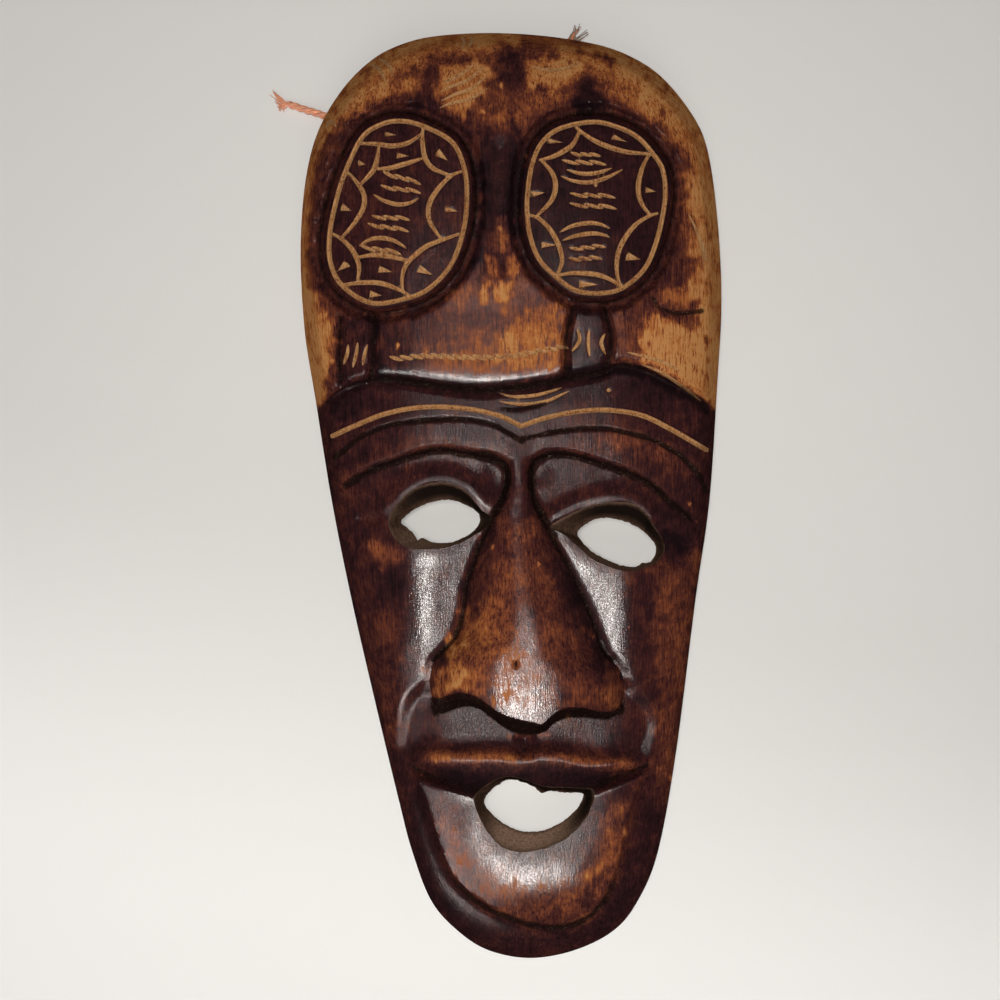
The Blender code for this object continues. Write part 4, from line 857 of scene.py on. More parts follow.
PATCHES = [
    Patch(0.40, 9, [(345, 88), (372, 60), (402, 45), (440, 36), (485, 33), (520, 34), (520, 46), (480, 50),
                    (440, 55), (410, 66), (390, 82), (370, 97), (352, 114), (335, 126), (325, 124)]),
    Patch(0.30, 8, [(350, 100), (372, 84), (398, 74), (414, 72), (418, 84), (400, 90), (384, 98), (366, 112)]),
    Patch(0.46, 5, [(443, 66), (470, 62), (488, 66), (492, 76), (484, 92), (474, 104), (464, 118), (448, 108),
                    (438, 100), (440, 80)]),
    Patch(0.50, 4, [(526, 60), (556, 60), (580, 63), (577, 78), (566, 86), (548, 88), (527, 84)]),
    Patch(0.22, 8, [(505, 92), (540, 90), (575, 92), (560, 104), (530, 116), (512, 128), (498, 136), (490, 122)]),
    Patch(0.38, 7, [(556, 48), (600, 56), (630, 66), (655, 90), (672, 115), (655, 121), (640, 108), (622, 100),
                    (604, 98), (592, 82), (585, 64)]),
    Patch(0.42, 8, [(600, 45), (640, 60), (668, 84), (692, 112), (708, 150), (718, 210), (722, 280), (720, 350),
                    (714, 405), (702, 330), (696, 260), (692, 205), (682, 150), (668, 118), (645, 92), (615, 66)]),
    Patch(0.22, 7, [(678, 160), (692, 190), (702, 260), (704, 330), (692, 300), (686, 250), (680, 210)]),
    Patch(0.58, 5, [(641, 352), (645, 318), (668, 319), (690, 326), (706, 340), (716, 404), (700, 397), (676, 382),
                    (655, 368), (640, 362)]),
    Patch(0.36, 9, [(505, 312), (566, 300), (564, 352), (560, 372), (505, 374), (500, 345)]),
    Patch(0.22, 12, [(420, 345), (505, 330), (508, 376), (420, 374)]),
    Patch(0.50, 5, [(301, 296), (314, 293), (326, 316), (338, 341), (330, 352), (325, 378), (319, 404), (308, 380),
                    (302, 335)]),
    Patch(0.30, 4, [(300, 240), (303, 180), (312, 134), (325, 112), (332, 118), (318, 150), (309, 190), (306, 250),
                    (302, 290)]),
    Patch(0.42, 2.5, [(487, 255), (497, 254), (498, 276), (490, 274)]),
    Patch(0.40, 2.5, [(506, 258), (516, 256), (519, 274), (508, 276)]),
    Patch(0.42, 2.5, [(480, 284), (489, 281), (488, 304), (479, 305)]),
    Patch(0.42, 2.5, [(496, 284), (513, 282), (510, 300), (494, 306)]),
    Patch(0.30, 2.5, [(497, 218), (507, 216), (508, 250), (500, 254)]),
    Patch(0.26, 5, [(452, 292), (469, 288), (466, 310), (452, 312)]),
    Patch(0.24, 4, [(662, 124), (678, 118), (683, 140), (670, 148), (660, 140)]),
    Patch(0.26, 5, [(664, 292), (688, 284), (702, 300), (682, 306), (662, 302)]),
    Patch(-0.30, 6, [(573, 104), (578, 84), (590, 73), (606, 86), (611, 103), (600, 113), (580, 113)]),
    Patch(-0.20, 8, [(499, 44), (522, 40), (525, 70), (518, 104), (512, 130), (505, 100), (499, 70)]),
    Patch(-0.18, 7, [(428, 66), (440, 70), (441, 112), (428, 116), (412, 104), (421, 88)]),
    Patch(-0.26, 10, [(478, 130), (512, 128), (522, 180), (520, 250), (500, 275), (478, 262), (480, 190)]),
    Patch(-0.20, 6, [(336, 330), (378, 316), (380, 380), (336, 388)]),
    Patch(-0.20, 5, [(566, 312), (612, 312), (614, 372), (566, 380)]),
    Patch(-0.03, 10, [(330, 400), (372, 388), (440, 394), (520, 396), (600, 380), (640, 376), (712, 416), (708, 440),
                      (640, 408), (575, 404), (521, 418), (445, 400), (385, 406), (335, 430)]),
    Patch(0.26, 7, [(368, 541), (384, 538), (408, 552), (400, 563), (376, 557)]),
    Patch(0.20, 16, [(502, 520), (536, 520), (562, 590), (590, 650), (608, 690), (590, 702), (556, 706), (533, 720),
                     (500, 702), (470, 690), (436, 692), (438, 662), (470, 620), (492, 560)]),
    Patch(0.30, 8, [(430, 672), (452, 660), (464, 684), (438, 696)]),
    Patch(0.20, 6, [(606, 660), (624, 668), (622, 704), (606, 708)]),
    Patch(0.22, 12, [(656, 556), (700, 552), (694, 650), (682, 740), (660, 800), (654, 740), (656, 650)]),
    # Painted shade down the nose's right flank
    Patch(-0.12, 8, [(572, 560), (592, 600), (606, 640), (622, 668), (612, 690), (596, 680), (580, 640), (562, 590)]),
    Patch(0.10, 7, [(462, 600), (474, 604), (468, 650), (448, 672), (440, 668), (452, 640)]),
    Patch(0.20, 14, [(462, 620), (498, 600), (520, 640), (540, 690), (500, 700), (462, 684), (450, 660)]),
    Patch(0.24, 5, [(486, 232), (520, 240), (516, 262), (486, 256)]),
    Patch(0.16, 10, [(560, 436), (620, 428), (652, 434), (692, 462), (690, 482), (640, 454), (600, 447),
                     (565, 450)]),
    Patch(0.14, 6, [(360, 304), (400, 308), (398, 322), (364, 320)]),
    Patch(0.20, 8, [(604, 800), (626, 800), (618, 860), (604, 900), (590, 912), (596, 870)]),
    Patch(0.20, 12, [(452, 850), (530, 880), (600, 872), (590, 916), (530, 924), (478, 902)]),
    Patch(0.14, 14, [(440, 810), (476, 830), (520, 862), (570, 850), (600, 810), (618, 806), (612, 870), (560, 900),
                     (490, 890), (452, 860)]),
    Patch(0.10, 12, [(352, 540), (384, 560), (396, 640), (410, 740), (392, 760), (370, 660)]),
    Patch(0.50, 2.5, [(446, 629), (453, 630), (451, 646), (445, 642)]),
    Patch(0.08, 10, [(340, 470), (372, 452), (420, 440), (500, 448), (500, 456), (420, 452), (372, 470), (345, 488)]),
    Patch(-0.10, 6, [(406, 790), (424, 784), (434, 840), (452, 888), (484, 922), (472, 944), (430, 902), (412, 850)]),
    Patch(-0.08, 6, [(646, 800), (660, 790), (652, 852), (634, 906), (602, 938), (588, 930), (628, 880)]),
    # Painted shade on the lip's slope, which faces down the mask
    Patch(-0.14, 5, [(440, 764), (470, 768), (520, 772), (580, 768), (610, 762), (606, 784), (560, 792), (500, 795),
                     (455, 789), (440, 780)]),
    Patch(-0.12, 7, [(364, 562), (384, 556), (402, 566), (400, 596), (380, 604), (366, 592)]),
    Patch(-0.20, 4, [(660, 526), (676, 534), (691, 547), (684, 558), (668, 566), (660, 552)]),
    Patch(-0.14, 8, [(374, 318), (440, 322), (442, 372), (376, 374)]),
    # Painted shade down the side of the cap's lip, above its edge
    Patch(-0.30, 3, [(378, 367), (440, 374), (480, 377), (520, 376), (566, 368), (600, 362), (640, 366), (680, 388),
                     (706, 402), (706, 410), (676, 396), (640, 376), (600, 374), (566, 380), (520, 388), (480, 389),
                     (440, 386), (378, 379)]),
    Patch(0.34, 3, [(508, 733), (528, 735), (546, 731), (547, 735), (528, 739), (508, 738)]),
    Patch(0.16, 5, [(440, 826), (448, 820), (458, 846), (466, 868), (456, 870), (446, 852)]),
]

# Areas where the clear coat is worn off or never took
DULL_PATCHES = [
    Patch(0.95, 5, [(320, 400), (372, 388), (440, 393), (520, 396), (600, 380), (640, 376), (712, 416), (714, 440),
                    (640, 412), (575, 408), (521, 416), (445, 412), (385, 418), (330, 432)]),
    Patch(0.70, 8, [(330, 432), (385, 418), (445, 412), (521, 416), (575, 408), (640, 412), (712, 440), (708, 470),
                    (620, 446), (545, 440), (500, 446), (440, 438), (380, 452), (336, 476)]),
    Patch(1.0, 5, [(426, 704), (470, 704), (500, 716), (520, 730), (546, 726), (580, 712), (622, 704), (654, 696),
                   (664, 735), (654, 772), (640, 778), (614, 754), (560, 752), (526, 760), (480, 752), (444, 752),
                   (424, 760), (416, 736)]),
    Patch(0.75, 6, [(478, 456), (514, 456), (512, 486), (496, 492), (480, 482)]),
    Patch(0.80, 6, [(524, 456), (560, 456), (606, 462), (604, 482), (556, 492), (532, 484)]),
    Patch(0.90, 5, [(505, 440), (536, 440), (532, 500), (508, 500)]),
    Patch(0.90, 4, [(524, 506), (556, 484), (606, 474), (640, 484), (640, 498), (606, 494), (566, 504),
                    (532, 520)]),
    Patch(0.95, 5, [(388, 500), (392, 480), (420, 462), (462, 462), (470, 478), (464, 492), (430, 500), (408, 516),
                    (400, 545), (384, 530)]),
    Patch(0.65, 6, [(612, 476), (650, 488), (676, 520), (694, 546), (680, 566), (654, 556), (640, 520), (612, 504)]),
    Patch(0.60, 9, [(446, 548), (478, 552), (484, 572), (462, 584), (444, 572)]),
    Patch(0.55, 12, [(640, 560), (700, 540), (700, 700), (680, 790), (652, 780), (644, 700)]),
    Patch(0.50, 14, [(340, 480), (392, 540), (392, 620), (396, 700), (412, 780), (380, 700), (352, 600)]),
    Patch(0.75, 12, [(478, 110), (520, 110), (524, 200), (520, 290), (478, 290), (474, 200)]),
    Patch(0.85, 8, [(374, 300), (470, 308), (560, 300), (566, 362), (520, 372), (440, 370), (374, 362)]),
    Patch(0.45, 10, [(320, 120), (420, 60), (520, 48), (640, 70), (700, 180), (712, 380), (650, 360), (640, 320),
                     (690, 260), (676, 140), (600, 104), (520, 112), (420, 108), (340, 150)]),
    Patch(0.30, 8, [(508, 500), (530, 500), (548, 560), (560, 630), (480, 630), (494, 560)]),
    Patch(0.30, 8, [(560, 600), (616, 660), (616, 700), (580, 706), (556, 660)]),
]

# Areas where hands have polished the clear coat
SHINE_PATCHES = [
    Patch(0.95, 6, [(416, 552), (438, 556), (434, 600), (425, 650), (415, 700), (402, 722), (394, 690), (400, 640),
                    (406, 590)]),
    Patch(0.10, 7, [(440, 560), (472, 560), (464, 600), (454, 625), (440, 642), (436, 600)]),
    Patch(0.50, 6, [(560, 546), (578, 560), (604, 580), (626, 600), (636, 640), (641, 672), (618, 664), (602, 632),
                    (584, 592), (566, 566)]),
    Patch(0.85, 18, [(470, 640), (500, 604), (530, 612), (560, 650), (566, 690), (545, 714), (520, 726), (495, 708),
                     (470, 684)]),
    Patch(0.90, 10, [(474, 815), (486, 850), (520, 868), (560, 866), (582, 880), (560, 902), (510, 898), (480, 874),
                    (466, 840)]),
    Patch(0.50, 4, [(440, 784), (478, 782), (480, 800), (466, 806), (450, 800)]),
    Patch(0.95, 3, [(384, 366), (440, 372), (480, 375), (520, 374), (562, 366), (562, 376), (520, 384), (480, 385),
                    (440, 382), (384, 376)]),
    Patch(0.25, 6, [(470, 486), (486, 480), (496, 500), (488, 520), (478, 512)]),
    Patch(0.60, 8, [(404, 780), (420, 784), (438, 846), (470, 896), (520, 922), (516, 934), (458, 912),
                    (422, 860)]),
]


@dataclass
class StainAndPaintedShade:
    """Where the dark stain lies thick, where it is rubbed off and where cuts are rough and dark, with painted shade
    in grooves, moats and creases and under overhangs, and painted reflection on the cap's rim.
    """

    carving: Carving
    cap_tone: float = 0.40
    face_tone: float = 0.205
    boss_tones: tuple[float, float] = (0.20, 0.13)
    painted_shade_under_cap: float = 0.03
    moat_stain_and_shade: float = 0.14
    edge_wear: float = 0.22
    rim_wear_and_reflection: float = 0.24
    matte_edge: float = 32.0
    weak_coat: float = 0.34

    def thinness(self, points: Points) -> Points:
        """Return how light the face is, from 0 where the stain is thickest to 1 on golden wood, with painted shade
        below the cap's edge, in the moats and on some slopes, and painted reflection on the cap's rim.
        """
        head = self.carving.head_dress
        on_cap = ease((height_above(points, head.edge) + 2) / 5.0)
        tone = self.face_tone + (self.cap_tone - self.face_tone) * on_cap
        # Painted shade just below the cap's edge
        tone -= self.painted_shade_under_cap * (1 - on_cap) * hill((height_above(points, head.edge) + 8) / 16.0)
        ragged = roughness_at(points, 13.0, 51.0) + 0.7 * roughness_at(points * (1, 0.45), 4.0, 57.0)
        for patch in PATCHES:
            tone += patch.amount * patch.cover(points, ragged)
        for ring, boss_tone in zip(head.rings, self.boss_tones):
            inside = depth_inside(points, ring, 40.0)
            on_boss = ease((inside + head.border + 1) / 3.0)
            tone += (boss_tone - tone) * on_boss
            # Darker round each boss in its moat: pooled stain and painted shade
            near = ease((inside + head.border + 24 + ragged * 9) / 16.0) * (1 - on_boss)
            tone -= self.moat_stain_and_shade * near
        tone += self.edge_wear * self.worn_edges(points)
        inside = depth_inside(points, self.carving.layout.outline, 30.0)
        # Paler near the outline on the cap: rubbed stain, and painted reflection of the paper on the steep sides
        tone += self.rim_wear_and_reflection * ease((14 - inside + 5 * ragged) / 10.0) * on_cap
        return np.clip(tone, 0, 1)

    def gloss(self, points: Points) -> Points:
        """Return how much of the clear coat is left, from 0 to 1."""
        head, mouth = self.carving.head_dress, self.carving.mouth
        left = self.weak_coat * ease(depth_inside(points, self.carving.layout.outline, 40.0) / self.matte_edge)
        streaks = roughness_at(points @ np.array(((0.92, 0.10), (0.40, -0.23))), 5.0, 71.0)
        for patch in SHINE_PATCHES:
            left += patch.amount * patch.cover(points) * np.clip(1 + 0.8 * streaks, 0, 1.4)
        for patch in DULL_PATCHES:
            left *= 1 - patch.amount * patch.cover(points)
        for ring in head.rings:
            outside = -depth_inside(points, ring, 40.0) - head.border
            left *= 1 - 0.85 * ease((outside + 4) / 4.0) * ease((20 - outside) / 6.0)
            left *= 1 - 0.65 * ease(-outside / 8.0)
        pad = spline(CHIN_PAD[:CHIN_PAD_CORNER])
        left += 0.45 * hill(gap_to(points, beside(pad, 12.0), 9.0)[0] / 9.0)
        lines = [(mouth.ridge, 10.0, 0.5), (beside(pad, 3.0), 7.0, 0.8)]
        lines += [(side - (0, 3), 9.0, 1.0) for side in self.brow_sides()]
        for line, half, amount in lines:
            left *= 1 - amount * hill(gap_to(points, line, half)[0] / half)
        return np.clip(left, 0, 1)

    def worn_edges(self, points: Points) -> Points:
        """Return how much each point lies on an edge that hands and cloths rub."""
        mouth, nose, brow = self.carving.mouth, self.carving.nose, self.carving.brow
        wear = 1.8 * hill(gap_to(points, mouth.ridge[8:-6] + (0, 1), 18.0)[0] / 7.0)
        wear = np.maximum(wear, 0.5 * hill(gap_to(points, nose.edge[6:-6] - (0, 5), 18.0)[0] / 5.0))
        for side in self.brow_sides():
            wear = np.maximum(wear, 0.12 * hill(gap_to(points, side - (0, 9), 14.0)[0] / 4.0))
        pad = spline(CHIN_PAD[4:CHIN_PAD_CORNER])
        return np.maximum(wear, 0.4 * hill(gap_to(points, beside(pad, 1.0), 14.0)[0] / 3.5))

    def brow_sides(self) -> list[Points]:
        """Return the brow's edge over the left and over the right eye, without the nose's root."""
        edge = self.carving.brow.edge
        return [edge[(edge[:, 0] > 345) & (edge[:, 0] < 500)], edge[(edge[:, 0] > 540) & (edge[:, 0] < 690)]]

    def dark_stain_and_shade(self, points: Points) -> Points:
        """Return how dark each point is made, from 0 to 1: dark stain and dust in rough cuts, and painted shade in
        grooves, creases and moats, under the cap's edge, the brow and the nose, and along the nose's sides.
        """
        carving = self.carving
        head, nose, mouth = carving.head_dress, carving.nose, carving.mouth
        dark_stain_and_shade = 0.35 * hill(gap_to(points, np.array(head.valley, float), 60.0)[0] / 14.0)
        # Dark stain and painted shade at the foot of each oval boss, in its moat
        for ring in head.rings:
            outside = -depth_inside(points, ring, 60.0) - head.border
            foot = np.where(outside < 2.5, ease((outside + 0.5) / 3.0), hill((outside - 2.5) / 5.5))
            dark_stain_and_shade = np.maximum(dark_stain_and_shade, 0.58 * foot)
        rows = nose.rows[1:-4]
        sides = [spline(np.column_stack((rows[:, 1] + side * rows[:, 2], rows[:, 0]))) for side in (-1, 1)]
        # Painted shade in the groove under the cap's lip, strongest across the middle
        strong = np.interp(points[:, 0], (300, 370, 410, 570, 620, 720), (0.35, 0.55, 0.95, 0.95, 0.6, 0.5))
        lines = [(head.edge + (0, 1), 4.6, strong), (mouth.foot, 4.0, 0.6)]
        lines += [(side + (0, 1), 5.0, 0.9) for side in self.brow_sides() + [spline(SOCKET_CORNERS[0])]]
        lines += [(spline(corner), 3.8, 0.85) for corner in SOCKET_CORNERS]
        lines += [(stem, 3.6, 0.7) for stem in head.stems]
        lines += [(spline(head.crescent), 3.4, 0.8), (spline(HOLLOW_CRACK), 2.2, 0.6)]
        # Painted shade along the nose's sides
        lines += [(side, 3.8, 0.8) for side in sides]
        lines += [(cut.line, cut.half, 1.0) for cut in carving.dark_cuts]
        # Painted shade along the chin pad's lower edge, stronger towards the chin
        foot = np.interp(points[:, 1], (820, 880, 905), (0.25, 0.5, 0.9))
        lines += [(beside(spline(CHIN_PAD[1:CHIN_PAD_CORNER - 1]), 2.5), 3.8, foot)]
        width = 1 + 0.45 * roughness_at(points, 11.0, 63.0)
        for line, half, strength in lines:
            reach = half * 1.6 * width
            gap = gap_to(points, line, half * 2.6)[0]
            dark_stain_and_shade = np.maximum(dark_stain_and_shade, strength * (1 - ease(gap / reach)))
        # Painted shadow on the nose's underside, fading out past its foot
        under = nose.under(points)
        below = ease(under / 0.15) * ease((1.35 - under - np.maximum(self.past_foot(points), 0) / 14) / 0.5)
        dark_stain_and_shade = np.maximum(dark_stain_and_shade, 0.9 * below * (nose.across(points)[0] < 1.03))
        pit_gap = gap_to(points, np.array(nose.pit, float), 6.0)[0]
        dark_stain_and_shade = np.maximum(dark_stain_and_shade, 1 - ease(pit_gap / 3.0))
        return np.clip(dark_stain_and_shade * (1 + 0.35 * roughness_at(points, 7.0, 67.0)), 0, 1)

    def past_foot(self, points: Points) -> Points:
        """Return how far below the foot of the nose's underside each point is."""
        foot = self.carving.nose.foot
        return points[:, 1] - np.interp(points[:, 0], foot[:, 0], foot[:, 1])


# Each point of the mesh keeps these traces for the finishes: the third is dark stain, dust and painted shade, and on
# the holes' walls the first is painted light and the third painted shade
TRACES = ("bare", "cut", "dark_stain_and_shade", "gloss")


class Wood(Enum):
    """The wood's two finishes, in the order of the mask's material slots."""

    STAINED = 0
    RAW = 1


@dataclass
class Scatter:
    """Plan points that keep their distance from each other."""

    cell: float = 3.0
    points: list[tuple[float, float]] = field(default_factory=list)
    cells: dict[tuple[int, int], list[int]] = field(default_factory=dict)

    def add(self, points: Points, gap: float) -> None:
        """Add the points that are further than a gap, at most the cell, from all earlier ones."""
        for x, y in points:
            column, row = int(x // self.cell), int(y // self.cell)
            around = [self.cells.get((column + over, row + down), ()) for over in (-1, 0, 1) for down in (-1, 0, 1)]
            near = [self.points[number] for numbers in around for number in numbers]
            if all((x - px) ** 2 + (y - py) ** 2 > gap * gap for px, py in near):
                self.cells.setdefault((column, row), []).append(len(self.points))
                self.points.append((x, y))


@dataclass
class Shell:
    """A mesh in the making: blocks of points with their traces, and triangles with their finish."""

    places: list[Points] = field(default_factory=list)
    traces: list[Points] = field(default_factory=list)
    triangles: list[Points] = field(default_factory=list)
    finishes: list[int] = field(default_factory=list)

    def add(self, places: Points, traces: Points | None = None) -> Points:
        """Add points with their traces and return their numbers."""
        start = sum(len(block) for block in self.places)
        self.places.append(np.asarray(places, float))
        self.traces.append(np.zeros((len(places), len(TRACES))) if traces is None else traces)
        return np.arange(start, start + len(places))

    def fill(self, triangles: Points, wood: Wood) -> None:
        """Add triangles in a finish."""
        self.triangles.append(np.asarray(triangles))
        self.finishes += [wood.value] * len(triangles)

    def bridge(self, upper: Points, lower: Points, wood: Wood) -> None:
        """Join two rings of equally many points with triangles, across the shorter diagonals."""
        places = np.vstack(self.places)
        next_upper, next_lower = np.roll(upper, -1), np.roll(lower, -1)
        down = np.linalg.norm(places[upper] - places[next_lower], axis=1)
        up = np.linalg.norm(places[next_upper] - places[lower], axis=1)
        falls = (down < up)[:, None]
        self.fill(np.where(falls, np.column_stack((upper, next_upper, next_lower)),
                           np.column_stack((upper, next_upper, lower))), wood)
        self.fill(np.where(falls, np.column_stack((upper, next_lower, lower)),
                           np.column_stack((next_upper, next_lower, lower))), wood)

    def build(self, name: str, materials: Sequence[bpy.types.Material]) -> bpy.types.Object:
        """Make the object, with smooth shading that breaks at sharp edges.

        Args:
            name: The object's name.
            materials: The finishes, in the order of Wood.

        Returns:
            The object, linked to the scene.
        """
        mesh = bpy.data.meshes.new(name)
        mesh.from_pydata(np.vstack(self.places).tolist(), [], np.vstack(self.triangles).tolist())
        for values, trace in zip(np.vstack(self.traces).T, TRACES):
            layer = mesh.attributes.new(trace, "FLOAT", "POINT")
            layer.data.foreach_set("value", values.astype(np.float32))
        mesh.polygons.foreach_set("material_index", np.array(self.finishes, np.int32))
        shape = bmesh.new()
        shape.from_mesh(mesh)
        loose = [vert for vert in shape.verts if not vert.link_faces]
        bmesh.ops.delete(shape, geom=loose, context="VERTS")
        bmesh.ops.recalc_face_normals(shape, faces=shape.faces)
        shape.to_mesh(mesh)
        shape.free()
        mesh.shade_smooth()
        mesh.set_sharp_from_angle(angle=math.radians(42))
        for material in materials:
            mesh.materials.append(material)
        piece = bpy.data.objects.new(name, mesh)
        bpy.context.scene.collection.objects.link(piece)
        return piece


def triangulated(points: Sequence, loops: Sequence[Points], openings: Sequence[Points]) -> tuple[Points, Points]:
    """Fill the first loop with triangles, without its openings.

    Args:
        points: Flat points that start with the loops' points.
        loops: The outer loop and the loops of the openings, in order.
        openings: The loops that stay empty.

    Returns:
        The points and the triangles.
    """
    edges, start = [], 0
    for loop in loops:
        edges += [(start + index, start + (index + 1) % len(loop)) for index in range(len(loop))]
        start += len(loop)
    flat = [Vector((x, y)) for x, y in points]
    made, _, faces, _, _, _ = delaunay_2d_cdt(flat, edges, [], 0, 1e-7)
    made, faces = np.array([tuple(point) for point in made]), np.array(faces)
    centres = made[faces].mean(axis=1)
    keep = contains(centres, loops[0])
    for opening in openings:
        keep &= ~contains(centres, opening)
    return made, faces[keep]


def picked(loop: Points, points: Points) -> Points:
    """Return the numbers of the points that make a loop."""
    tree = tree_of(points)
    return np.array([tree.find((x, y, 0))[1] for x, y in loop])


def matched(loop: Points, other: Points) -> Points:
    """Spread a closed loop's points so that they run beside another loop's, one for one."""
    fine = walk(np.vstack((loop, loop[:1])), 0.25, True)
    first = int(np.argmin(np.linalg.norm(fine - other[0], axis=1)))
    fine = np.roll(fine, -first, axis=0)
    places = np.linspace(0, len(fine), len(other), endpoint=False)
    return np.column_stack([np.interp(places, np.arange(len(fine)), axis) for axis in fine.T])


@dataclass
class CordHole:
    """A drilled hole through the mask's side, from a place outside inwards."""

    name: str
    mouth: tuple[float, float, float]
    inwards: tuple[float, float, float]
    radius: float = 0.00175
    start: float = -0.002
    depth: float = 0.0168

    def cut(self, mask: bpy.types.Object) -> None:
        """Cut the hole through the mask."""
        outer, inwards = Vector(self.mouth), Vector(self.inwards)
        shape = bmesh.new()
        bmesh.ops.create_cone(shape, cap_ends=True, segments=24, radius1=self.radius, radius2=self.radius,
                              depth=self.depth - self.start)
        shape.transform(inwards.to_track_quat("Z", "Y").to_matrix().to_4x4())
        middle = outer + inwards * (self.depth + self.start) / 2
        bmesh.ops.translate(shape, verts=shape.verts, vec=middle)
        mesh = bpy.data.meshes.new(self.name)
        shape.to_mesh(mesh)
        shape.free()
        cutter = bpy.data.objects.new(self.name, mesh)
        bpy.context.scene.collection.objects.link(cutter)
        opening = mask.modifiers.new(self.name, "BOOLEAN")
        opening.operation = "DIFFERENCE"
        opening.solver = "EXACT"
        opening.object = cutter
        cut_mesh = bpy.data.meshes.new_from_object(mask.evaluated_get(bpy.context.evaluated_depsgraph_get()))
        mask.modifiers.clear()
        old = mask.data
        mask.data = cut_mesh
        bpy.data.meshes.remove(old)
        bpy.data.objects.remove(cutter)
        bpy.data.meshes.remove(mesh)


@dataclass
class MaskBody:
    """The carved wood: face, sides, flat back rim, hollow, eye and mouth holes, and cord holes."""

    carving: Carving
    finish_map: StainAndPaintedShade
    undercut: float = 0.0038
    side_curve: float = 1.9
    side_rings: int = 7
    rim_width: float = 0.0070
    wall: float = 0.0085
    hollow_reach: float = 0.030
    hollow_shape: tuple[float, float] = (3.6, 2.5)
    hollow_start: float = 0.018
    over_cap: tuple[float, float, float] = (0.00264, 450.0, 60.0)
    hollow_lean: float = 1.03
    gouge: float = 0.00022
    back_step: float = 0.0024
    wall_rings: int = 4
    # Painted light on the lower walls of the left eye, the right eye and the mouth
    lit_wall_paleness: tuple[float, float, float] = (0.25, 0.25, 1.0)
    cord_holes: tuple[CordHole, ...] = (
        CordHole("left_cord_hole", (-0.05801, 0.12554, 0.0042), (0.861, -0.508, 0)),
        CordHole("top_cord_hole", (0.02116, 0.14712, 0.0042), (-0.187, -0.982, 0)),
    )

    def __post_init__(self) -> None:
        """Draw the loops of the outline and the holes."""
        self.layout = self.carving.layout
        pairs = ((LEFT_EYE_RIM, LEFT_EYE_HOLE), (RIGHT_EYE_RIM, RIGHT_EYE_HOLE), (MOUTH_RIM, MOUTH_HOLE))
        self.rims = [spline(rim, closed=True, step=2.0) for rim, _ in pairs]
        self.rims = [inset(rim, roughness_at(rim, 3.5, 41.0)[:, None] * 0.6) for rim in self.rims]
        self.holes = [matched(spline(hole, closed=True, step=1.0), rim) for (_, hole), rim in zip(pairs, self.rims)]
        self.holes = [inset(hole, roughness_at(hole, 3.0, 43.0)[:, None] * 0.9) for hole in self.holes]

    def clear(self, points: Points, margins: Points) -> Points:
        """Tell which plan points are on the face, margins away from its outline and holes."""
        keep = depth_inside(points, self.layout.outline, 8.0) > margins
        for rim in self.rims:
            keep &= depth_inside(points, rim, 8.0) < -margins * 0.8
        return keep

    def form_lines(self) -> list[Points]:
        """Return the plan lines along which the carving turns."""
        carving = self.carving
        head, brow, nose, mouth = carving.head_dress, carving.brow, carving.nose, carving.mouth
        lines = [beside(head.edge, offset) for offset in (-7, -4, -1.5, 1, 4, 7, 10)]
        lines += [beside(brow.edge, offset) for offset in (-6, -3, -1, 1, 3)]
        lines += [beside(stem, offset) for stem in head.stems for offset in (-6, -3, 0, 3, 6)]
        rows = nose.rows[1:-1]
        for share in (-1.06, -1.0, -0.94, -0.86, 0.86, 0.94, 1.0, 1.06):
            lines.append(spline(np.column_stack((rows[:, 1] + share * rows[:, 2], rows[:, 0]))))
        lines += [nose.edge + (0, down) for down in (-3, 0, 2)] + [nose.foot, nose.foot + (0, 2)]
        lines += [mouth.ridge + (0, down) for down in (-4, -2, 0, 2)]
        lines += [mouth.foot + (0, down) for down in (-2, 0, 3, 6)]
        pad = spline(CHIN_PAD[:CHIN_PAD_CORNER])
        return lines + [beside(pad, offset) for offset in (-1, 0, 2, 5, 8, 11)]

    def face_points(self) -> Points:
        """Return the face's plan points: its loops, its lines and grids between them."""
        carving, outline = self.carving, self.layout.outline
        scatter = Scatter()
        for loop in [outline] + self.rims:
            scatter.add(loop, 0.0)
        rows = [(inset(outline, gap), 1.8, 1.9) for gap in (2.6, 5.6)]
        rows += [(inset(rim, -gap), 1.3, 1.5) for rim in self.rims for gap in (2.0, 4.2)]
        for cut in carving.light_cuts + carving.dark_cuts:
            middle = walk(cut.line, 1.8, False)
            half = cut.half_at(np.linspace(0, 1, len(middle)))[:, None]
            along = np.gradient(middle, axis=0)
            across = np.column_stack((-along[:, 1], along[:, 0])) / np.linalg.norm(along, axis=1)[:, None]
            rows += [(middle + side * half * across, 2.0, 1.15) for side in (0, -1, 1)]
        rows += [(walk(line, 2.7, False), 3.0, 1.7) for line in self.form_lines()]
        fine = hex_grid(outline, 1.96)
        rows.append((fine[carving.nearness(fine, 2.6) > -2.6], 2.0, 1.3))
        middle = hex_grid(outline, 2.65)
        rough = carving.head_dress.moat(middle) > 0.2
        for rim in self.rims:
            rough |= depth_inside(middle, rim, 14.0) > -13.0
        rows.append((middle[rough], 2.4, 1.8))
        rows.append((hex_grid(outline, 3.4), 2.8, 2.3))
        margins = np.concatenate([np.full(len(points), margin) for points, margin, _ in rows])
        keep = np.split(self.clear(np.vstack([points for points, _, _ in rows]), margins),
                        np.cumsum([len(points) for points, _, _ in rows])[:-1])
        for (points, _, gap), kept in zip(rows, keep):
            scatter.add(points[kept], gap)
        return np.array(scatter.points)

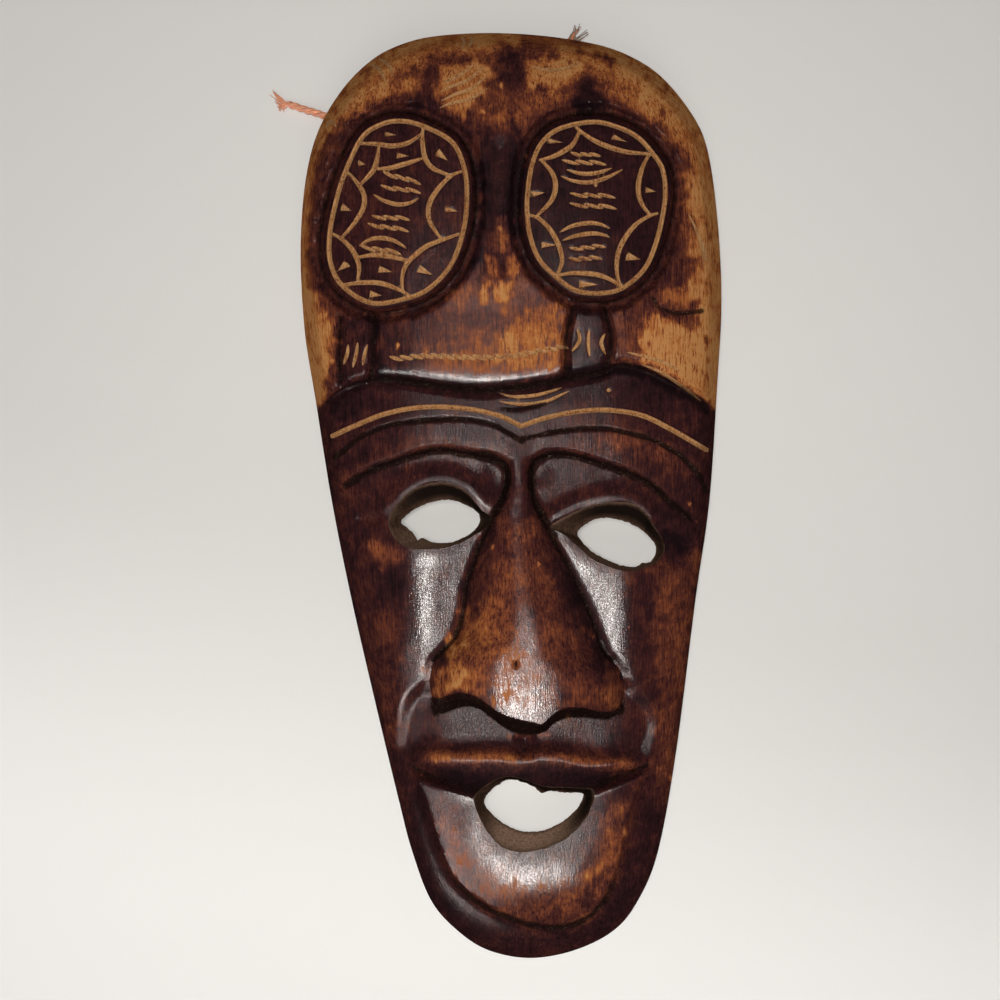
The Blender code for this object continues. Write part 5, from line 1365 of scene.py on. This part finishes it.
    def hollow_height(self, places: Points, hollow: Points) -> Points:
        """Return the height of the hollow's smooth surface at places on the mask."""
        rows = np.array(DOME_ROWS, float)
        eye_y, scale_y = self.layout.eye[1], self.layout.scale[1]
        plan_y = self.layout.eye_plan[1] - (places[:, 1] - eye_y) / scale_y * self.hollow_lean
        extra, middle, spread = self.over_cap
        crown = np.interp(plan_y, rows[:, 0], rows[:, 1]) * MM
        crown = crown + extra * ease((middle - plan_y) / spread + 0.5) - self.wall
        share = np.clip(depth_inside(places, hollow) / self.hollow_reach, 0, 1)
        outer, power = self.hollow_shape
        return crown * (1 - (1 - share) ** outer) ** (1 / power)

    def gouged(self, places: Points) -> Points:
        """Return the gouge's scallops in the hollow, in metres."""
        spots = places / MM
        waves = np.abs(roughness_at(spots * (1.0, 0.55), 7.0, 5.0)) + 0.3 * roughness_at(spots, 2.6, 9.0)
        return -self.gouge * 4 * waves

    def settled(self, hole: Points, hollow: Points) -> Points:
        """Return a plan loop as places on the hollow's surface, found by stepping towards it."""
        heights = np.full(len(hole), self.hollow_start)
        for _ in range(8):
            places = self.layout.lay(hole, heights)[:, :2]
            heights = self.hollow_height(places, hollow)
        return places

    def add_face(self, shell: Shell) -> tuple[Points, list[Points]]:
        """Add the carved face and return the numbers of its outline's and its holes' points."""
        loops = [self.layout.outline] + self.rims
        plan, triangles = triangulated(self.face_points(), loops, self.rims)
        places = self.layout.lay(plan, self.carving.height(plan))
        bare = self.finish_map.thinness(plan)
        cut = self.carving.bare(plan) / 6 + 0.5
        numbers = shell.add(places, np.column_stack((bare, cut, self.finish_map.dark_stain_and_shade(plan), self.finish_map.gloss(plan))))
        shell.fill(numbers[triangles], Wood.STAINED)
        return numbers[picked(loops[0], plan)], [numbers[picked(rim, plan)] for rim in self.rims]

    def add_sides(self, shell: Shell, edge: Points) -> Points:
        """Add the sides and the flat rim, and return the numbers of the rim's inner points."""
        places = np.vstack(shell.places)[edge]
        widest, edge_height = places[:, :2], self.layout.edge_height
        bare = np.vstack(shell.traces)[edge, 0]
        upper = edge
        for step in range(1, self.side_rings + 1):
            share = step / self.side_rings
            spots = np.column_stack((np.arange(len(widest)) * 1.1, np.full(len(widest), share * 8)))
            rough = roughness_at(spots, 6.0, 12.0) * 0.00012 * math.sin(math.pi * share)
            loop = inset(widest, self.undercut * share ** self.side_curve)
            loop += (inset(widest, 1.0) - widest) * rough[:, None]
            ring = np.column_stack((loop, np.full(len(loop), edge_height * (1 - share))))
            lightness = bare * (1 - share) + 0.16 * share
            lower = shell.add(ring, np.column_stack([lightness] + [np.zeros(len(loop))] * (len(TRACES) - 1)))
            shell.bridge(upper, lower, Wood.STAINED)
            upper = lower
        hollow = inset(widest, self.undercut + self.rim_width)
        inner = shell.add(np.column_stack((hollow, np.zeros(len(hollow)))))
        shell.bridge(upper, inner, Wood.RAW)
        return inner

    def add_hollow(self, shell: Shell, inner: Points) -> list[Points]:
        """Add the hollow and return the numbers of its holes' points."""
        hollow = np.vstack(shell.places)[inner, :2]
        loops = [self.settled(hole, hollow) for hole in self.holes]
        step = self.back_step
        scatter = Scatter(cell=step * 1.1)
        for loop in [hollow] + loops:
            scatter.add(loop, 0.0)
        for gap in (0.0009, 0.0022, 0.0040):
            ring = inset(hollow, gap)
            scatter.add(ring[depth_inside(ring, hollow) > gap * 0.8], 0.0008)
        grid = hex_grid(hollow, step)
        keep = depth_inside(grid, hollow) > 0.0042
        for loop in loops:
            keep &= depth_inside(grid, loop) < -0.0006
        scatter.add(grid[keep], step * 0.62)
        plan, triangles = triangulated(scatter.points, [hollow] + loops, loops)
        depth = depth_inside(plan, hollow)
        heights = self.hollow_height(plan, hollow) + self.gouged(plan) * ease(depth / 0.006)
        rim = picked(hollow, plan)
        numbers = shell.add(np.column_stack((plan, heights)))
        numbers[rim] = inner
        shell.fill(numbers[triangles], Wood.RAW)
        return [numbers[picked(loop, plan)] for loop in loops]

    def add_hole(self, shell: Shell, rim: Points, back: Points, pale: float) -> None:
        """Add a hole's rough walls from its rim on the face to the hollow, with painted shade on the walls at its
        upper and right sides and painted light on its lower wall.

        Args:
            shell: The mesh in the making.
            rim: The numbers of the rim's points.
            back: The numbers of the matching points on the hollow.
            pale: How pale the painted light makes the lower wall, from 0 to 1.
        """
        places = np.vstack(shell.places)
        top, bottom = places[rim], places[back]
        middle = (top + bottom).mean(axis=0) / 2
        upper = rim
        for step in range(1, self.wall_rings + 1):
            share = step / (self.wall_rings + 1)
            ring = top + (bottom - top) * share
            spots = np.column_stack((ring[:, :2].sum(axis=1), ring[:, 2] * 2)) / MM
            rough = roughness_at(spots, 2.4, 30.0 + step) * 0.00028 * math.sin(math.pi * share)
            outwards = ring[:, :2] - middle[:2]
            outwards /= np.linalg.norm(outwards, axis=1)[:, None]
            ring[:, :2] += outwards * rough[:, None]
            # Painted shade on the walls at the hole's upper and right sides, most near the face, and painted light on
            # its lower wall
            wall_shade = ease(0.55 + 0.6 * outwards[:, 1] + 0.25 * outwards[:, 0]) * ease((1 - share) * 3)
            lightness = pale * ease(-outwards[:, 1] * 1.6)
            lower = shell.add(ring, np.column_stack((lightness, 0 * lightness, wall_shade, 0 * lightness)))
            shell.bridge(upper, lower, Wood.RAW)
            upper = lower
        shell.bridge(upper, back, Wood.RAW)

    def build(self, materials: Sequence[bpy.types.Material]) -> bpy.types.Object:
        """Build the carved mask.

        Args:
            materials: The stain-coated finish and the raw finish.

        Returns:
            The mask.
        """
        shell = Shell()
        edge, rims = self.add_face(shell)
        inner = self.add_sides(shell, edge)
        backs = self.add_hollow(shell, inner)
        for rim, back, pale in zip(rims, backs, self.lit_wall_paleness):
            self.add_hole(shell, rim, back, pale)
        mask = shell.build("carved_mask", materials)
        for hole in self.cord_holes:
            hole.cut(mask)
        return mask


@dataclass
class Graph:
    """Adds shader nodes to one node tree."""

    tree: bpy.types.NodeTree

    def add(self, kind: str, inputs: dict | None = None, **settings: object) -> bpy.types.Node:
        """Add a node.

        Args:
            kind: The node's type.
            inputs: Values or other nodes' outputs, by the input's name or number.
            settings: The node's own settings.

        Returns:
            The node.
        """
        node = self.tree.nodes.new(kind)
        for name, value in settings.items():
            setattr(node, name, value)
        for name, value in (inputs or {}).items():
            if isinstance(value, bpy.types.NodeSocket):
                self.tree.links.new(value, node.inputs[name])
            else:
                node.inputs[name].default_value = value
        return node

    def math(self, operation: str, low: object, high: object = 0.0, third: object = 0.0,
             clamp: bool = False) -> bpy.types.NodeSocket:
        """Add a math node and return its value."""
        node = self.add("ShaderNodeMath", {0: low, 1: high, 2: third}, operation=operation, use_clamp=clamp)
        return node.outputs[0]

    def step(self, value: object, low: float, high: float) -> bpy.types.NodeSocket:
        """Return a smooth step from 0 to 1 as value goes from low to high."""
        node = self.add("ShaderNodeMapRange", {0: value, 1: low, 2: high}, interpolation_type="SMOOTHSTEP")
        return node.outputs[0]

    def mix(self, share: object, low: object, high: object) -> bpy.types.NodeSocket:
        """Return a mix of two colours."""
        node = self.add("ShaderNodeMix", data_type="RGBA")
        for socket, value in zip((node.inputs[0], node.inputs[6], node.inputs[7]), (share, low, high)):
            if isinstance(value, bpy.types.NodeSocket):
                self.tree.links.new(value, socket)
            else:
                socket.default_value = value
        return node.outputs[2]

    def noise(self, place: object, scale: float, detail: float = 3.0, roughness: float = 0.55,
              distortion: float = 0.0) -> bpy.types.NodeSocket:
        """Return a noise value around 0.5."""
        inputs = {"Vector": place, "Scale": scale, "Detail": detail, "Roughness": roughness,
                  "Distortion": distortion}
        return self.add("ShaderNodeTexNoise", inputs).outputs[0]

    def trace(self, name: str) -> bpy.types.NodeSocket:
        """Return a trace that the mesh keeps at its points."""
        return self.add("ShaderNodeAttribute", attribute_name=name).outputs["Fac"]


def node_group(name: str, outputs: Sequence[str]) -> tuple[bpy.types.NodeTree, Graph, bpy.types.Node]:
    """Start a shader node group that outputs values.

    Args:
        name: The group's name.
        outputs: The names of its outputs.

    Returns:
        The group, its graph and its output node.
    """
    tree = bpy.data.node_groups.new(name, "ShaderNodeTree")
    for output in outputs:
        tree.interface.new_socket(output, in_out="OUTPUT", socket_type="NodeSocketFloat")
    graph = Graph(tree)
    return tree, graph, graph.add("NodeGroupOutput")


MARKS = ("Fibres", "Mottle", "Grit", "Scrapes", "Blotches", "Pores", "Pepper")


def grain_group() -> bpy.types.NodeTree:
    """Make the wood's own marks: fibres along Y, mottles, grit and diagonal scrapes."""
    tree, graph, out = node_group("wood_marks", MARKS)
    place = graph.add("ShaderNodeTexCoord").outputs["Object"]
    stretched = graph.add("ShaderNodeMapping", {"Vector": place, "Scale": (1500, 120, 1500)}).outputs[0]
    turned = graph.add("ShaderNodeMapping", {"Vector": place, "Rotation": (0, 0, 0.9), "Scale": (1700, 160, 700)})
    short = graph.add("ShaderNodeMapping", {"Vector": place, "Scale": (2300, 260, 2300)}).outputs[0]
    marks = (
        graph.noise(stretched, 1.0, 3.0, 0.6),
        graph.noise(place, 105.0, 4.0, 0.62, 0.4),
        graph.noise(place, 1500.0, 2.0, 0.65),
        graph.noise(turned.outputs[0], 1.0, 2.0, 0.6),
        graph.noise(place, 420.0, 4.0, 0.66, 0.8),
        graph.noise(short, 1.0, 2.0, 0.6),
        graph.noise(place, 2700.0, 1.0, 0.6),
    )
    for mark, socket in zip(marks, out.inputs):
        tree.links.new(mark, socket)
    return tree


def colour(red: float, green: float, blue: float) -> tuple[float, float, float, float]:
    """Return an opaque colour."""
    return red, green, blue, 1.0


@dataclass(frozen=True)
class StainedFinish:
    """Dark red-brown stain under a clear coat, rubbed through to golden wood in places, and darkened with dust and
    painted shade in cuts, grooves and under overhangs.
    """

    name: str = "stained_face"
    stops: tuple[tuple[float, tuple[float, float, float]], ...] = (
        (0.0, (0.012, 0.0060, 0.0072)), (0.20, (0.038, 0.0125, 0.0135)), (0.40, (0.110, 0.031, 0.0195)),
        (0.60, (0.25, 0.074, 0.029)), (0.80, (0.42, 0.145, 0.040)), (1.0, (0.52, 0.245, 0.085)),
    )
    bare_wood: tuple[float, float, float] = (0.49, 0.27, 0.115)
    bare_shade: tuple[float, float, float] = (0.31, 0.14, 0.052)
    # The dark colour of pooled stain and of painted shade in cuts, grooves and under overhangs
    dark_stain_and_shade_colour: tuple[float, float, float] = (0.012, 0.0065, 0.0055)
    dust: tuple[float, float, float] = (0.105, 0.078, 0.056)
    coat: float = 0.95

    def build(self, marks: bpy.types.NodeTree) -> bpy.types.Material:
        """Make the material.

        Args:
            marks: The shared group of the wood's marks.

        Returns:
            The material.
        """
        material = bpy.data.materials.new(self.name)
        material.use_nodes = True
        graph = Graph(material.node_tree)
        shader = material.node_tree.nodes["Principled BSDF"]
        group = graph.add("ShaderNodeGroup", node_tree=marks)
        fibres, mottle, grit, scrapes, blotches, pores, pepper = group.outputs
        bare, cut, dark_stain_and_shade, gloss = (graph.trace(name) for name in TRACES)

        tone = graph.math("MULTIPLY_ADD", fibres, 0.75, -0.375)
        tone = graph.math("ADD", tone, graph.math("MULTIPLY_ADD", mottle, 0.80, -0.40))
        tone = graph.math("ADD", tone, graph.math("MULTIPLY_ADD", scrapes, 0.36, -0.18))
        tone = graph.math("ADD", tone, graph.math("MULTIPLY_ADD", blotches, 0.70, -0.35))
        thin = graph.math("ADD", bare, graph.math("MULTIPLY", tone, graph.math("MULTIPLY_ADD", bare, 0.9, 0.38)))
        flecked = graph.math("MULTIPLY", graph.step(pores, 0.54, 0.66), graph.math("MULTIPLY_ADD", bare, 0.42, 0.02))
        thin = graph.math("SUBTRACT", thin, flecked)
        ramp = graph.add("ShaderNodeValToRGB", {0: thin})
        elements = ramp.color_ramp.elements
        while len(elements) < len(self.stops):
            elements.new(0.5)
        for element, (place, shade) in zip(elements, self.stops):
            element.position = place
            element.color = colour(*shade)

        ragged = graph.math("ADD", cut, graph.math("MULTIPLY_ADD", grit, 0.16, -0.08))
        in_cut = graph.step(ragged, 0.47, 0.56)
        wood = graph.mix(graph.step(fibres, 0.42, 0.66), colour(*self.bare_wood), colour(*self.bare_shade))
        flecks = graph.step(graph.math("ADD", grit, graph.math("MULTIPLY", mottle, 0.35)), 0.74, 0.84)
        wood = graph.mix(graph.math("MULTIPLY", flecks, 0.8), wood, colour(*self.stops[2][1]))
        shade = graph.mix(in_cut, ramp.outputs[0], wood)

        # Dark stain, dust specks and painted shade where the trace for dark stain and shade is high
        rough = graph.math("ADD", dark_stain_and_shade, graph.math("MULTIPLY_ADD", mottle, 0.5, -0.25))
        in_dark_stain_and_shade = graph.step(rough, 0.22, 0.72)
        dusty = graph.math("MULTIPLY", graph.step(grit, 0.52, 0.68), graph.step(blotches, 0.42, 0.62))
        dark = graph.mix(graph.math("MULTIPLY", dusty, 0.75), colour(*self.dark_stain_and_shade_colour), colour(*self.dust))
        shade = graph.mix(graph.math("MULTIPLY", in_dark_stain_and_shade, 0.9), shade, dark)
        material.node_tree.links.new(shade, shader.inputs["Base Color"])

        dull = graph.math("ADD", graph.math("MULTIPLY", in_dark_stain_and_shade, 0.42), graph.math("MULTIPLY", in_cut, 0.26))
        dull = graph.math("ADD", dull, graph.math("MULTIPLY_ADD", gloss, -0.36, 0.36))
        roughness = graph.math("ADD", graph.math("MULTIPLY_ADD", grit, 0.16, 0.30), dull, clamp=True)
        material.node_tree.links.new(roughness, shader.inputs["Roughness"])
        clear = graph.math("MULTIPLY", graph.math("SUBTRACT", 1.0, in_dark_stain_and_shade), graph.math("SUBTRACT", 1.0, in_cut))
        clear = graph.math("MULTIPLY", clear, graph.math("SUBTRACT", 1.0, graph.step(thin, 0.42, 0.76)))
        clear = graph.math("MULTIPLY", clear, graph.math("MULTIPLY_ADD", graph.step(pepper, 0.42, 0.56), 0.65, 0.35))
        coat = graph.math("MULTIPLY", graph.math("MULTIPLY", clear, gloss), self.coat)
        material.node_tree.links.new(coat, shader.inputs["Coat Weight"])
        shader.inputs["Coat Roughness"].default_value = 0.21
        shader.inputs["Specular IOR Level"].default_value = 0.0
        shader.inputs["Metallic"].default_value = 0.0
        height = graph.math("ADD", graph.math("MULTIPLY", pepper, 0.5), graph.math("MULTIPLY", pores, 0.6))
        bump = graph.add("ShaderNodeBump", {"Strength": 0.7, "Distance": 0.00016, "Height": height})
        material.node_tree.links.new(bump.outputs[0], shader.inputs["Normal"])
        material.node_tree.links.new(bump.outputs[0], shader.inputs["Coat Normal"])
        return material


@dataclass(frozen=True)
class RawFinish:
    """Gouged wood with only a thin wash of stain, in the hollow and on the holes' walls, where painted shade darkens
    the upper and right sides and painted light pales the lower side.
    """

    name: str = "raw_wood"
    light: tuple[float, float, float] = (0.17, 0.098, 0.064)
    dark: tuple[float, float, float] = (0.052, 0.028, 0.019)
    # The pale colour of painted light on the holes' lower walls; the back rim's outer edge takes a little of it too
    pale: tuple[float, float, float] = (0.44, 0.28, 0.19)
    # Painted shade on the holes' upper walls
    wall_shade: tuple[float, float, float] = (0.014, 0.009, 0.007)
    roughness: float = 0.72

    def build(self, marks: bpy.types.NodeTree) -> bpy.types.Material:
        """Make the material.

        Args:
            marks: The shared group of the wood's marks.

        Returns:
            The material.
        """
        material = bpy.data.materials.new(self.name)
        material.use_nodes = True
        graph = Graph(material.node_tree)
        shader = material.node_tree.nodes["Principled BSDF"]
        group = graph.add("ShaderNodeGroup", node_tree=marks)
        fibres, mottle, grit, *_ = group.outputs
        speckled = graph.math("MULTIPLY_ADD", graph.step(grit, 0.44, 0.58), -0.55, 1.0)
        share = graph.step(graph.math("ADD", graph.math("MULTIPLY", fibres, 0.6),
                                      graph.math("MULTIPLY", mottle, 0.4)), 0.38, 0.64)
        shade = graph.mix(share, colour(*self.light), colour(*self.dark))
        # Painted light pales the holes' lower walls, and painted shade darkens their upper walls
        shade = graph.mix(graph.math("MULTIPLY", graph.trace("bare"), speckled), shade, colour(*self.pale))
        shade = graph.mix(graph.trace("dark_stain_and_shade"), shade, colour(*self.wall_shade))
        material.node_tree.links.new(shade, shader.inputs["Base Color"])
        shader.inputs["Roughness"].default_value = self.roughness
        shader.inputs["Specular IOR Level"].default_value = 0.0
        shader.inputs["Metallic"].default_value = 0.0
        height = graph.math("ADD", grit, fibres)
        bump = graph.add("ShaderNodeBump", {"Strength": 0.8, "Distance": 0.00025, "Height": height})
        material.node_tree.links.new(bump.outputs[0], shader.inputs["Normal"])
        return material


@dataclass(frozen=True)
class TwineFinish:
    """Rust-orange plant fibre, paler where it frays."""

    name: str
    fibre: tuple[float, float, float]
    shade: tuple[float, float, float]
    roughness: float = 0.85

    def build(self) -> bpy.types.Material:
        """Make the material."""
        material = bpy.data.materials.new(self.name)
        material.use_nodes = True
        graph = Graph(material.node_tree)
        shader = material.node_tree.nodes["Principled BSDF"]
        place = graph.add("ShaderNodeTexCoord").outputs["Object"]
        hairs = graph.noise(place, 2600.0, 3.0, 0.7, 0.6)
        material.node_tree.links.new(graph.mix(graph.step(hairs, 0.36, 0.66), colour(*self.shade),
                                               colour(*self.fibre)), shader.inputs["Base Color"])
        shader.inputs["Roughness"].default_value = self.roughness
        shader.inputs["Metallic"].default_value = 0.0
        shader.inputs["Sheen Weight"].default_value = 0.25
        bump = graph.add("ShaderNodeBump", {"Strength": 0.7, "Distance": 0.0002, "Height": hairs})
        material.node_tree.links.new(bump.outputs[0], shader.inputs["Normal"])
        return material


@dataclass
class Strands:
    """Round strands in one mesh."""

    sides: int = 8
    verts: list[Vector] = field(default_factory=list)
    faces: list[tuple[int, ...]] = field(default_factory=list)

    def add(self, line: Points, radii: Points) -> None:
        """Add a capped strand along a line.

        Args:
            line: The strand's middle line, in metres.
            radii: Its radius at each of the line's points.
        """
        tangents = np.gradient(line, axis=0)
        normal = np.cross(tangents[0], (0.31, 0.47, 0.82))
        start = len(self.verts)
        for place, tangent, radius in zip(line, tangents, radii):
            tangent = tangent / np.linalg.norm(tangent)
            normal = normal - tangent * (normal @ tangent)
            normal = normal / np.linalg.norm(normal)
            other = np.cross(tangent, normal)
            for side in range(self.sides):
                turn = 2 * math.pi * side / self.sides
                self.verts.append(place + radius * (math.cos(turn) * normal + math.sin(turn) * other))
        for ring in range(len(line) - 1):
            low = start + ring * self.sides
            for side in range(self.sides):
                after = (side + 1) % self.sides
                self.faces.append((low + side, low + after, low + self.sides + after, low + self.sides + side))
        last = start + (len(line) - 1) * self.sides
        self.faces.append(tuple(range(start + self.sides - 1, start - 1, -1)))
        self.faces.append(tuple(range(last, last + self.sides)))

    def build(self, name: str, material: bpy.types.Material) -> bpy.types.Object:
        """Make the object."""
        mesh = bpy.data.meshes.new(name)
        mesh.from_pydata([tuple(vert) for vert in self.verts], [], self.faces)
        mesh.shade_smooth()
        mesh.materials.append(material)
        piece = bpy.data.objects.new(name, mesh)
        bpy.context.scene.collection.objects.link(piece)
        return piece


# The twine's way: a frayed tail at the left, in by one hole, across the hollow, out at the top
TWINE_ROUTE = [
    (-0.0723, 0.1315, 0.0016), (-0.0667, 0.1293, 0.0019), (-0.0580, 0.1255, 0.0042), (-0.0534, 0.1228, 0.0042),
    (-0.0479, 0.1195, 0.0042), (-0.0400, 0.1155, 0.0022), (-0.0315, 0.1061, 0.0018), (-0.0191, 0.1011, 0.0018),
    (-0.0058, 0.1046, 0.0018), (0.0064, 0.1148, 0.0018), (0.0157, 0.1268, 0.0022), (0.0190, 0.1355, 0.0042),
    (0.0201, 0.1418, 0.0042), (0.0212, 0.1471, 0.0042), (0.0247, 0.1520, 0.0036),
]


@dataclass
class Twine:
    """The twisted hanging cord and the frayed fibres at its two ends."""

    diameter: float = 0.0025
    pitch: float = 0.0085
    strand_share: float = 0.255
    section: float = 0.0006
    frayed: float = 0.0020
    far_end: float = 0.0070
    far_share: float = 0.72
    exit: tuple[float, float, float] = (-0.0580, 0.1255, 0.0042)
    fibre_radius: float = 0.00026
    seed: int = 11

    def way(self) -> Points:
        """Return the twine's middle line."""
        return spline(TWINE_ROUTE, step=self.section)

    def build_cord(self, material: bpy.types.Material) -> tuple[bpy.types.Object, Points, float]:
        """Build the three strands that twist round each other.

        Args:
            material: The twine's finish.

        Returns:
            The twine, its middle line and its length.
        """
        way = self.way()
        lengths = np.linalg.norm(np.diff(way, axis=0), axis=1)
        travelled = np.concatenate(([0], np.cumsum(lengths)))
        total = float(travelled[-1])
        tangents = np.gradient(way, axis=0)
        tangents /= np.linalg.norm(tangents, axis=1)[:, None]
        across = np.cross(tangents, (0, 0, 1.0))
        across /= np.linalg.norm(across, axis=1)[:, None]
        upward = np.cross(across, tangents)
        thin = ease(travelled / self.frayed) * 0.5 + 0.5
        thin *= 1 - self.far_share * ease((travelled - total + self.far_end) / self.far_end)
        strands = Strands()
        radius = self.diameter * self.strand_share
        for number in range(3):
            turn = (2 * math.pi * (travelled / self.pitch + number / 3))[:, None]
            offset = (self.diameter / 2 - radius) * thin[:, None]
            line = way + offset * (np.cos(turn) * across + np.sin(turn) * upward)
            strands.add(line, radius * thin)
        return strands.build("hanging_twine", material), way, total

    def build_fray(self, name: str, roots: Line, tips: Line, material: bpy.types.Material) -> bpy.types.Object:
        """Build loose fibres that fan out of an end of the twine.

        Args:
            name: The object's name.
            roots: Where the fibres leave the twine.
            tips: Where they end.
            material: Their finish.

        Returns:
            The fibres.
        """
        draw = np.random.default_rng(self.seed)
        strands = Strands(sides=5)
        for root, tip in zip(roots, tips):
            low, high = np.array(root), np.array(tip)
            for _ in range(5):
                spread = draw.normal(0, 0.00042, 3)
                middle = (low + high) / 2 + draw.normal(0, 0.0005, 3)
                end = high + spread * 1.5
                end[2] = max(end[2], 0.0004)
                middle[2] = max(middle[2], 0.0004)
                line = spline([tuple(low + spread * 0.4), tuple(middle), tuple(end)], step=self.section)
                strands.add(line, np.linspace(self.fibre_radius, self.fibre_radius * 0.35, len(line)))
        return strands.build(name, material)


@dataclass
class Studio:
    """The paper the mask lies on, the lights and the camera straight above."""

    layout: Layout
    paper: tuple[float, float, float] = (0.55, 0.545, 0.53)
    painted_glow: tuple[float, float, float] = (0.98, 0.965, 0.93)
    lamp_tint: tuple[float, float, float] = (1.0, 0.955, 0.91)
    sensor: float = 36.0
    picture: float = 1000.0

    def camera(self) -> None:
        """Set the camera at the eye from which the plan was drawn."""
        data = bpy.data.cameras.new("eye")
        data.sensor_width = self.sensor
        lens = (self.layout.eye_height - self.layout.edge_height) / self.layout.scale[1]
        data.lens = lens / self.picture * self.sensor
        data.clip_start = 0.01
        eye = bpy.data.objects.new("eye", data)
        eye.location = (*self.layout.eye, self.layout.eye_height)
        eye.rotation_euler = (0, 0, -self.layout.lean)
        bpy.context.scene.collection.objects.link(eye)
        bpy.context.scene.camera = eye

    def area_light(self, name: str, place: tuple[float, float, float], target: tuple[float, float, float],
                   power: float, size: float, mirrored: bool) -> None:
        """Add a square light.

        Args:
            name: The light's name.
            place: Where it is.
            target: Where it points.
            power: Its power in watts.
            size: The length of its sides.
            mirrored: Whether it is only mirrored in glossy surfaces, or else only lights them.
        """
        data = bpy.data.lights.new(name, "AREA")
        data.energy = power
        data.size = size
        data.color = self.lamp_tint
        lamp = bpy.data.objects.new(name, data)
        lamp.location = place
        lamp.rotation_euler = (Vector(target) - Vector(place)).to_track_quat("-Z", "Y").to_euler()
        lamp.visible_glossy = mirrored
        lamp.visible_diffuse = not mirrored
        bpy.context.scene.collection.objects.link(lamp)

    def light(self) -> None:
        """Light the mask softly from above and a little from below the chin."""
        self.area_light("flash", (-0.022, 0.005, 0.46), (0, -0.01, 0), 1.14, 0.05, mirrored=False)
        self.area_light("window", (0.0, -0.42, 0.66), (0, -0.05, 0), 1.5, 0.40, mirrored=False)
        self.area_light("rim_sheen", (-0.24, -0.38, 0.34), (0, -0.1, 0), 8.0, 0.24, mirrored=True)
        self.area_light("sheen", (-0.042, -0.125, 0.47), (0, -0.05, 0), 6.2, 0.06, mirrored=True)
        self.area_light("chin_sheen", (-0.01, -0.245, 0.47), (0, -0.1, 0), 8.6, 0.13, mirrored=True)
        self.area_light("nose_sheen", (-0.015, 0.030, 0.47), (0, -0.05, 0), 4.0, 0.14, mirrored=True)
        world = bpy.data.worlds.new("room")
        world.use_nodes = True
        background = world.node_tree.nodes["Background"]
        background.inputs[0].default_value = (0.97, 0.98, 1.0, 1.0)
        background.inputs[1].default_value = 0.08
        world.cycles_visibility.glossy = False
        bpy.context.scene.world = world
        bpy.context.scene.view_settings.view_transform = "Standard"

    def floor(self) -> None:
        """Lay the sheet of paper under the mask, which gives off painted light, more towards the bottom and the left.
        """
        shape = bmesh.new()
        bmesh.ops.create_grid(shape, x_segments=1, y_segments=1, size=1.5)
        mesh = bpy.data.meshes.new("paper")
        shape.to_mesh(mesh)
        shape.free()
        material = bpy.data.materials.new("paper")
        material.use_nodes = True
        shader = material.node_tree.nodes["Principled BSDF"]
        shader.inputs["Base Color"].default_value = colour(*self.paper)
        shader.inputs["Roughness"].default_value = 0.9
        shader.inputs["Specular IOR Level"].default_value = 0.0
        graph = Graph(material.node_tree)
        place = graph.add("ShaderNodeTexCoord").outputs["Object"]
        across, along, _ = graph.add("ShaderNodeSeparateXYZ", {0: place}).outputs
        # Painted light: the paper glows, more towards the bottom and the left
        rise = graph.step(graph.math("MULTIPLY_ADD", across, 0.28, along), -0.005, -0.17)
        shader.inputs["Emission Color"].default_value = colour(*self.painted_glow)
        material.node_tree.links.new(graph.math("MULTIPLY_ADD", rise, 0.235, 0.26),
                                     shader.inputs["Emission Strength"])
        mesh.materials.append(material)
        paper = bpy.data.objects.new("paper", mesh)
        paper.location = (0, 0, -0.0002)
        paper.visible_glossy = False
        bpy.context.scene.collection.objects.link(paper)


def dress_twine(twine: Twine) -> None:
    orange = TwineFinish("orange_twine", (0.90, 0.31, 0.105), (0.60, 0.185, 0.06)).build()
    pale = TwineFinish("frayed_fibre", (0.42, 0.28, 0.20), (0.20, 0.115, 0.08)).build()
    cord, way, total = twine.build_cord(orange)
    left = twine.build_fray("left_fray", [TWINE_ROUTE[0]] * 5, [
        (-0.0764, 0.1352, 0.0012), (-0.0758, 0.1344, 0.0020), (-0.0750, 0.1300, 0.0010), (-0.0742, 0.1296, 0.0018),
        (-0.0756, 0.1322, 0.0014),
    ], orange)
    top = twine.build_fray("top_fray", [(0.0216, 0.1462, 0.0042)] * 3, [
        (0.0252, 0.1526, 0.0036), (0.0272, 0.1508, 0.0044), (0.0236, 0.1524, 0.0046),
    ], pale)
    for piece in (cord, left, top):
        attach(piece, "root")
    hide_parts("hanging_cord")
    LOG.info("hanging_twine: %.1f mm long, %d points", total * 1000, len(cord.data.vertices))


def dress_mask(layout: Layout) -> None:
    """Build the carved mask in place of its plain solid."""
    marks = grain_group()
    carving = Carving(layout)
    materials = [StainedFinish().build(marks), RawFinish().build(marks)]
    mask = MaskBody(carving, StainAndPaintedShade(carving)).build(materials)
    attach(mask, "root")
    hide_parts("mask")
    LOG.info("carved_mask: %d points, %d faces", len(mask.data.vertices), len(mask.data.polygons))


def main() -> None:
    """Build the camera, the twine, the mask and the studio."""
    logging.basicConfig(level=logging.INFO, format="%(name)s: %(message)s")
    layout = Layout()
    studio = Studio(layout)
    studio.camera()
    dress_twine(Twine())
    dress_mask(layout)
    studio.light()
    studio.floor()


if __name__ == "__main__":
    main()
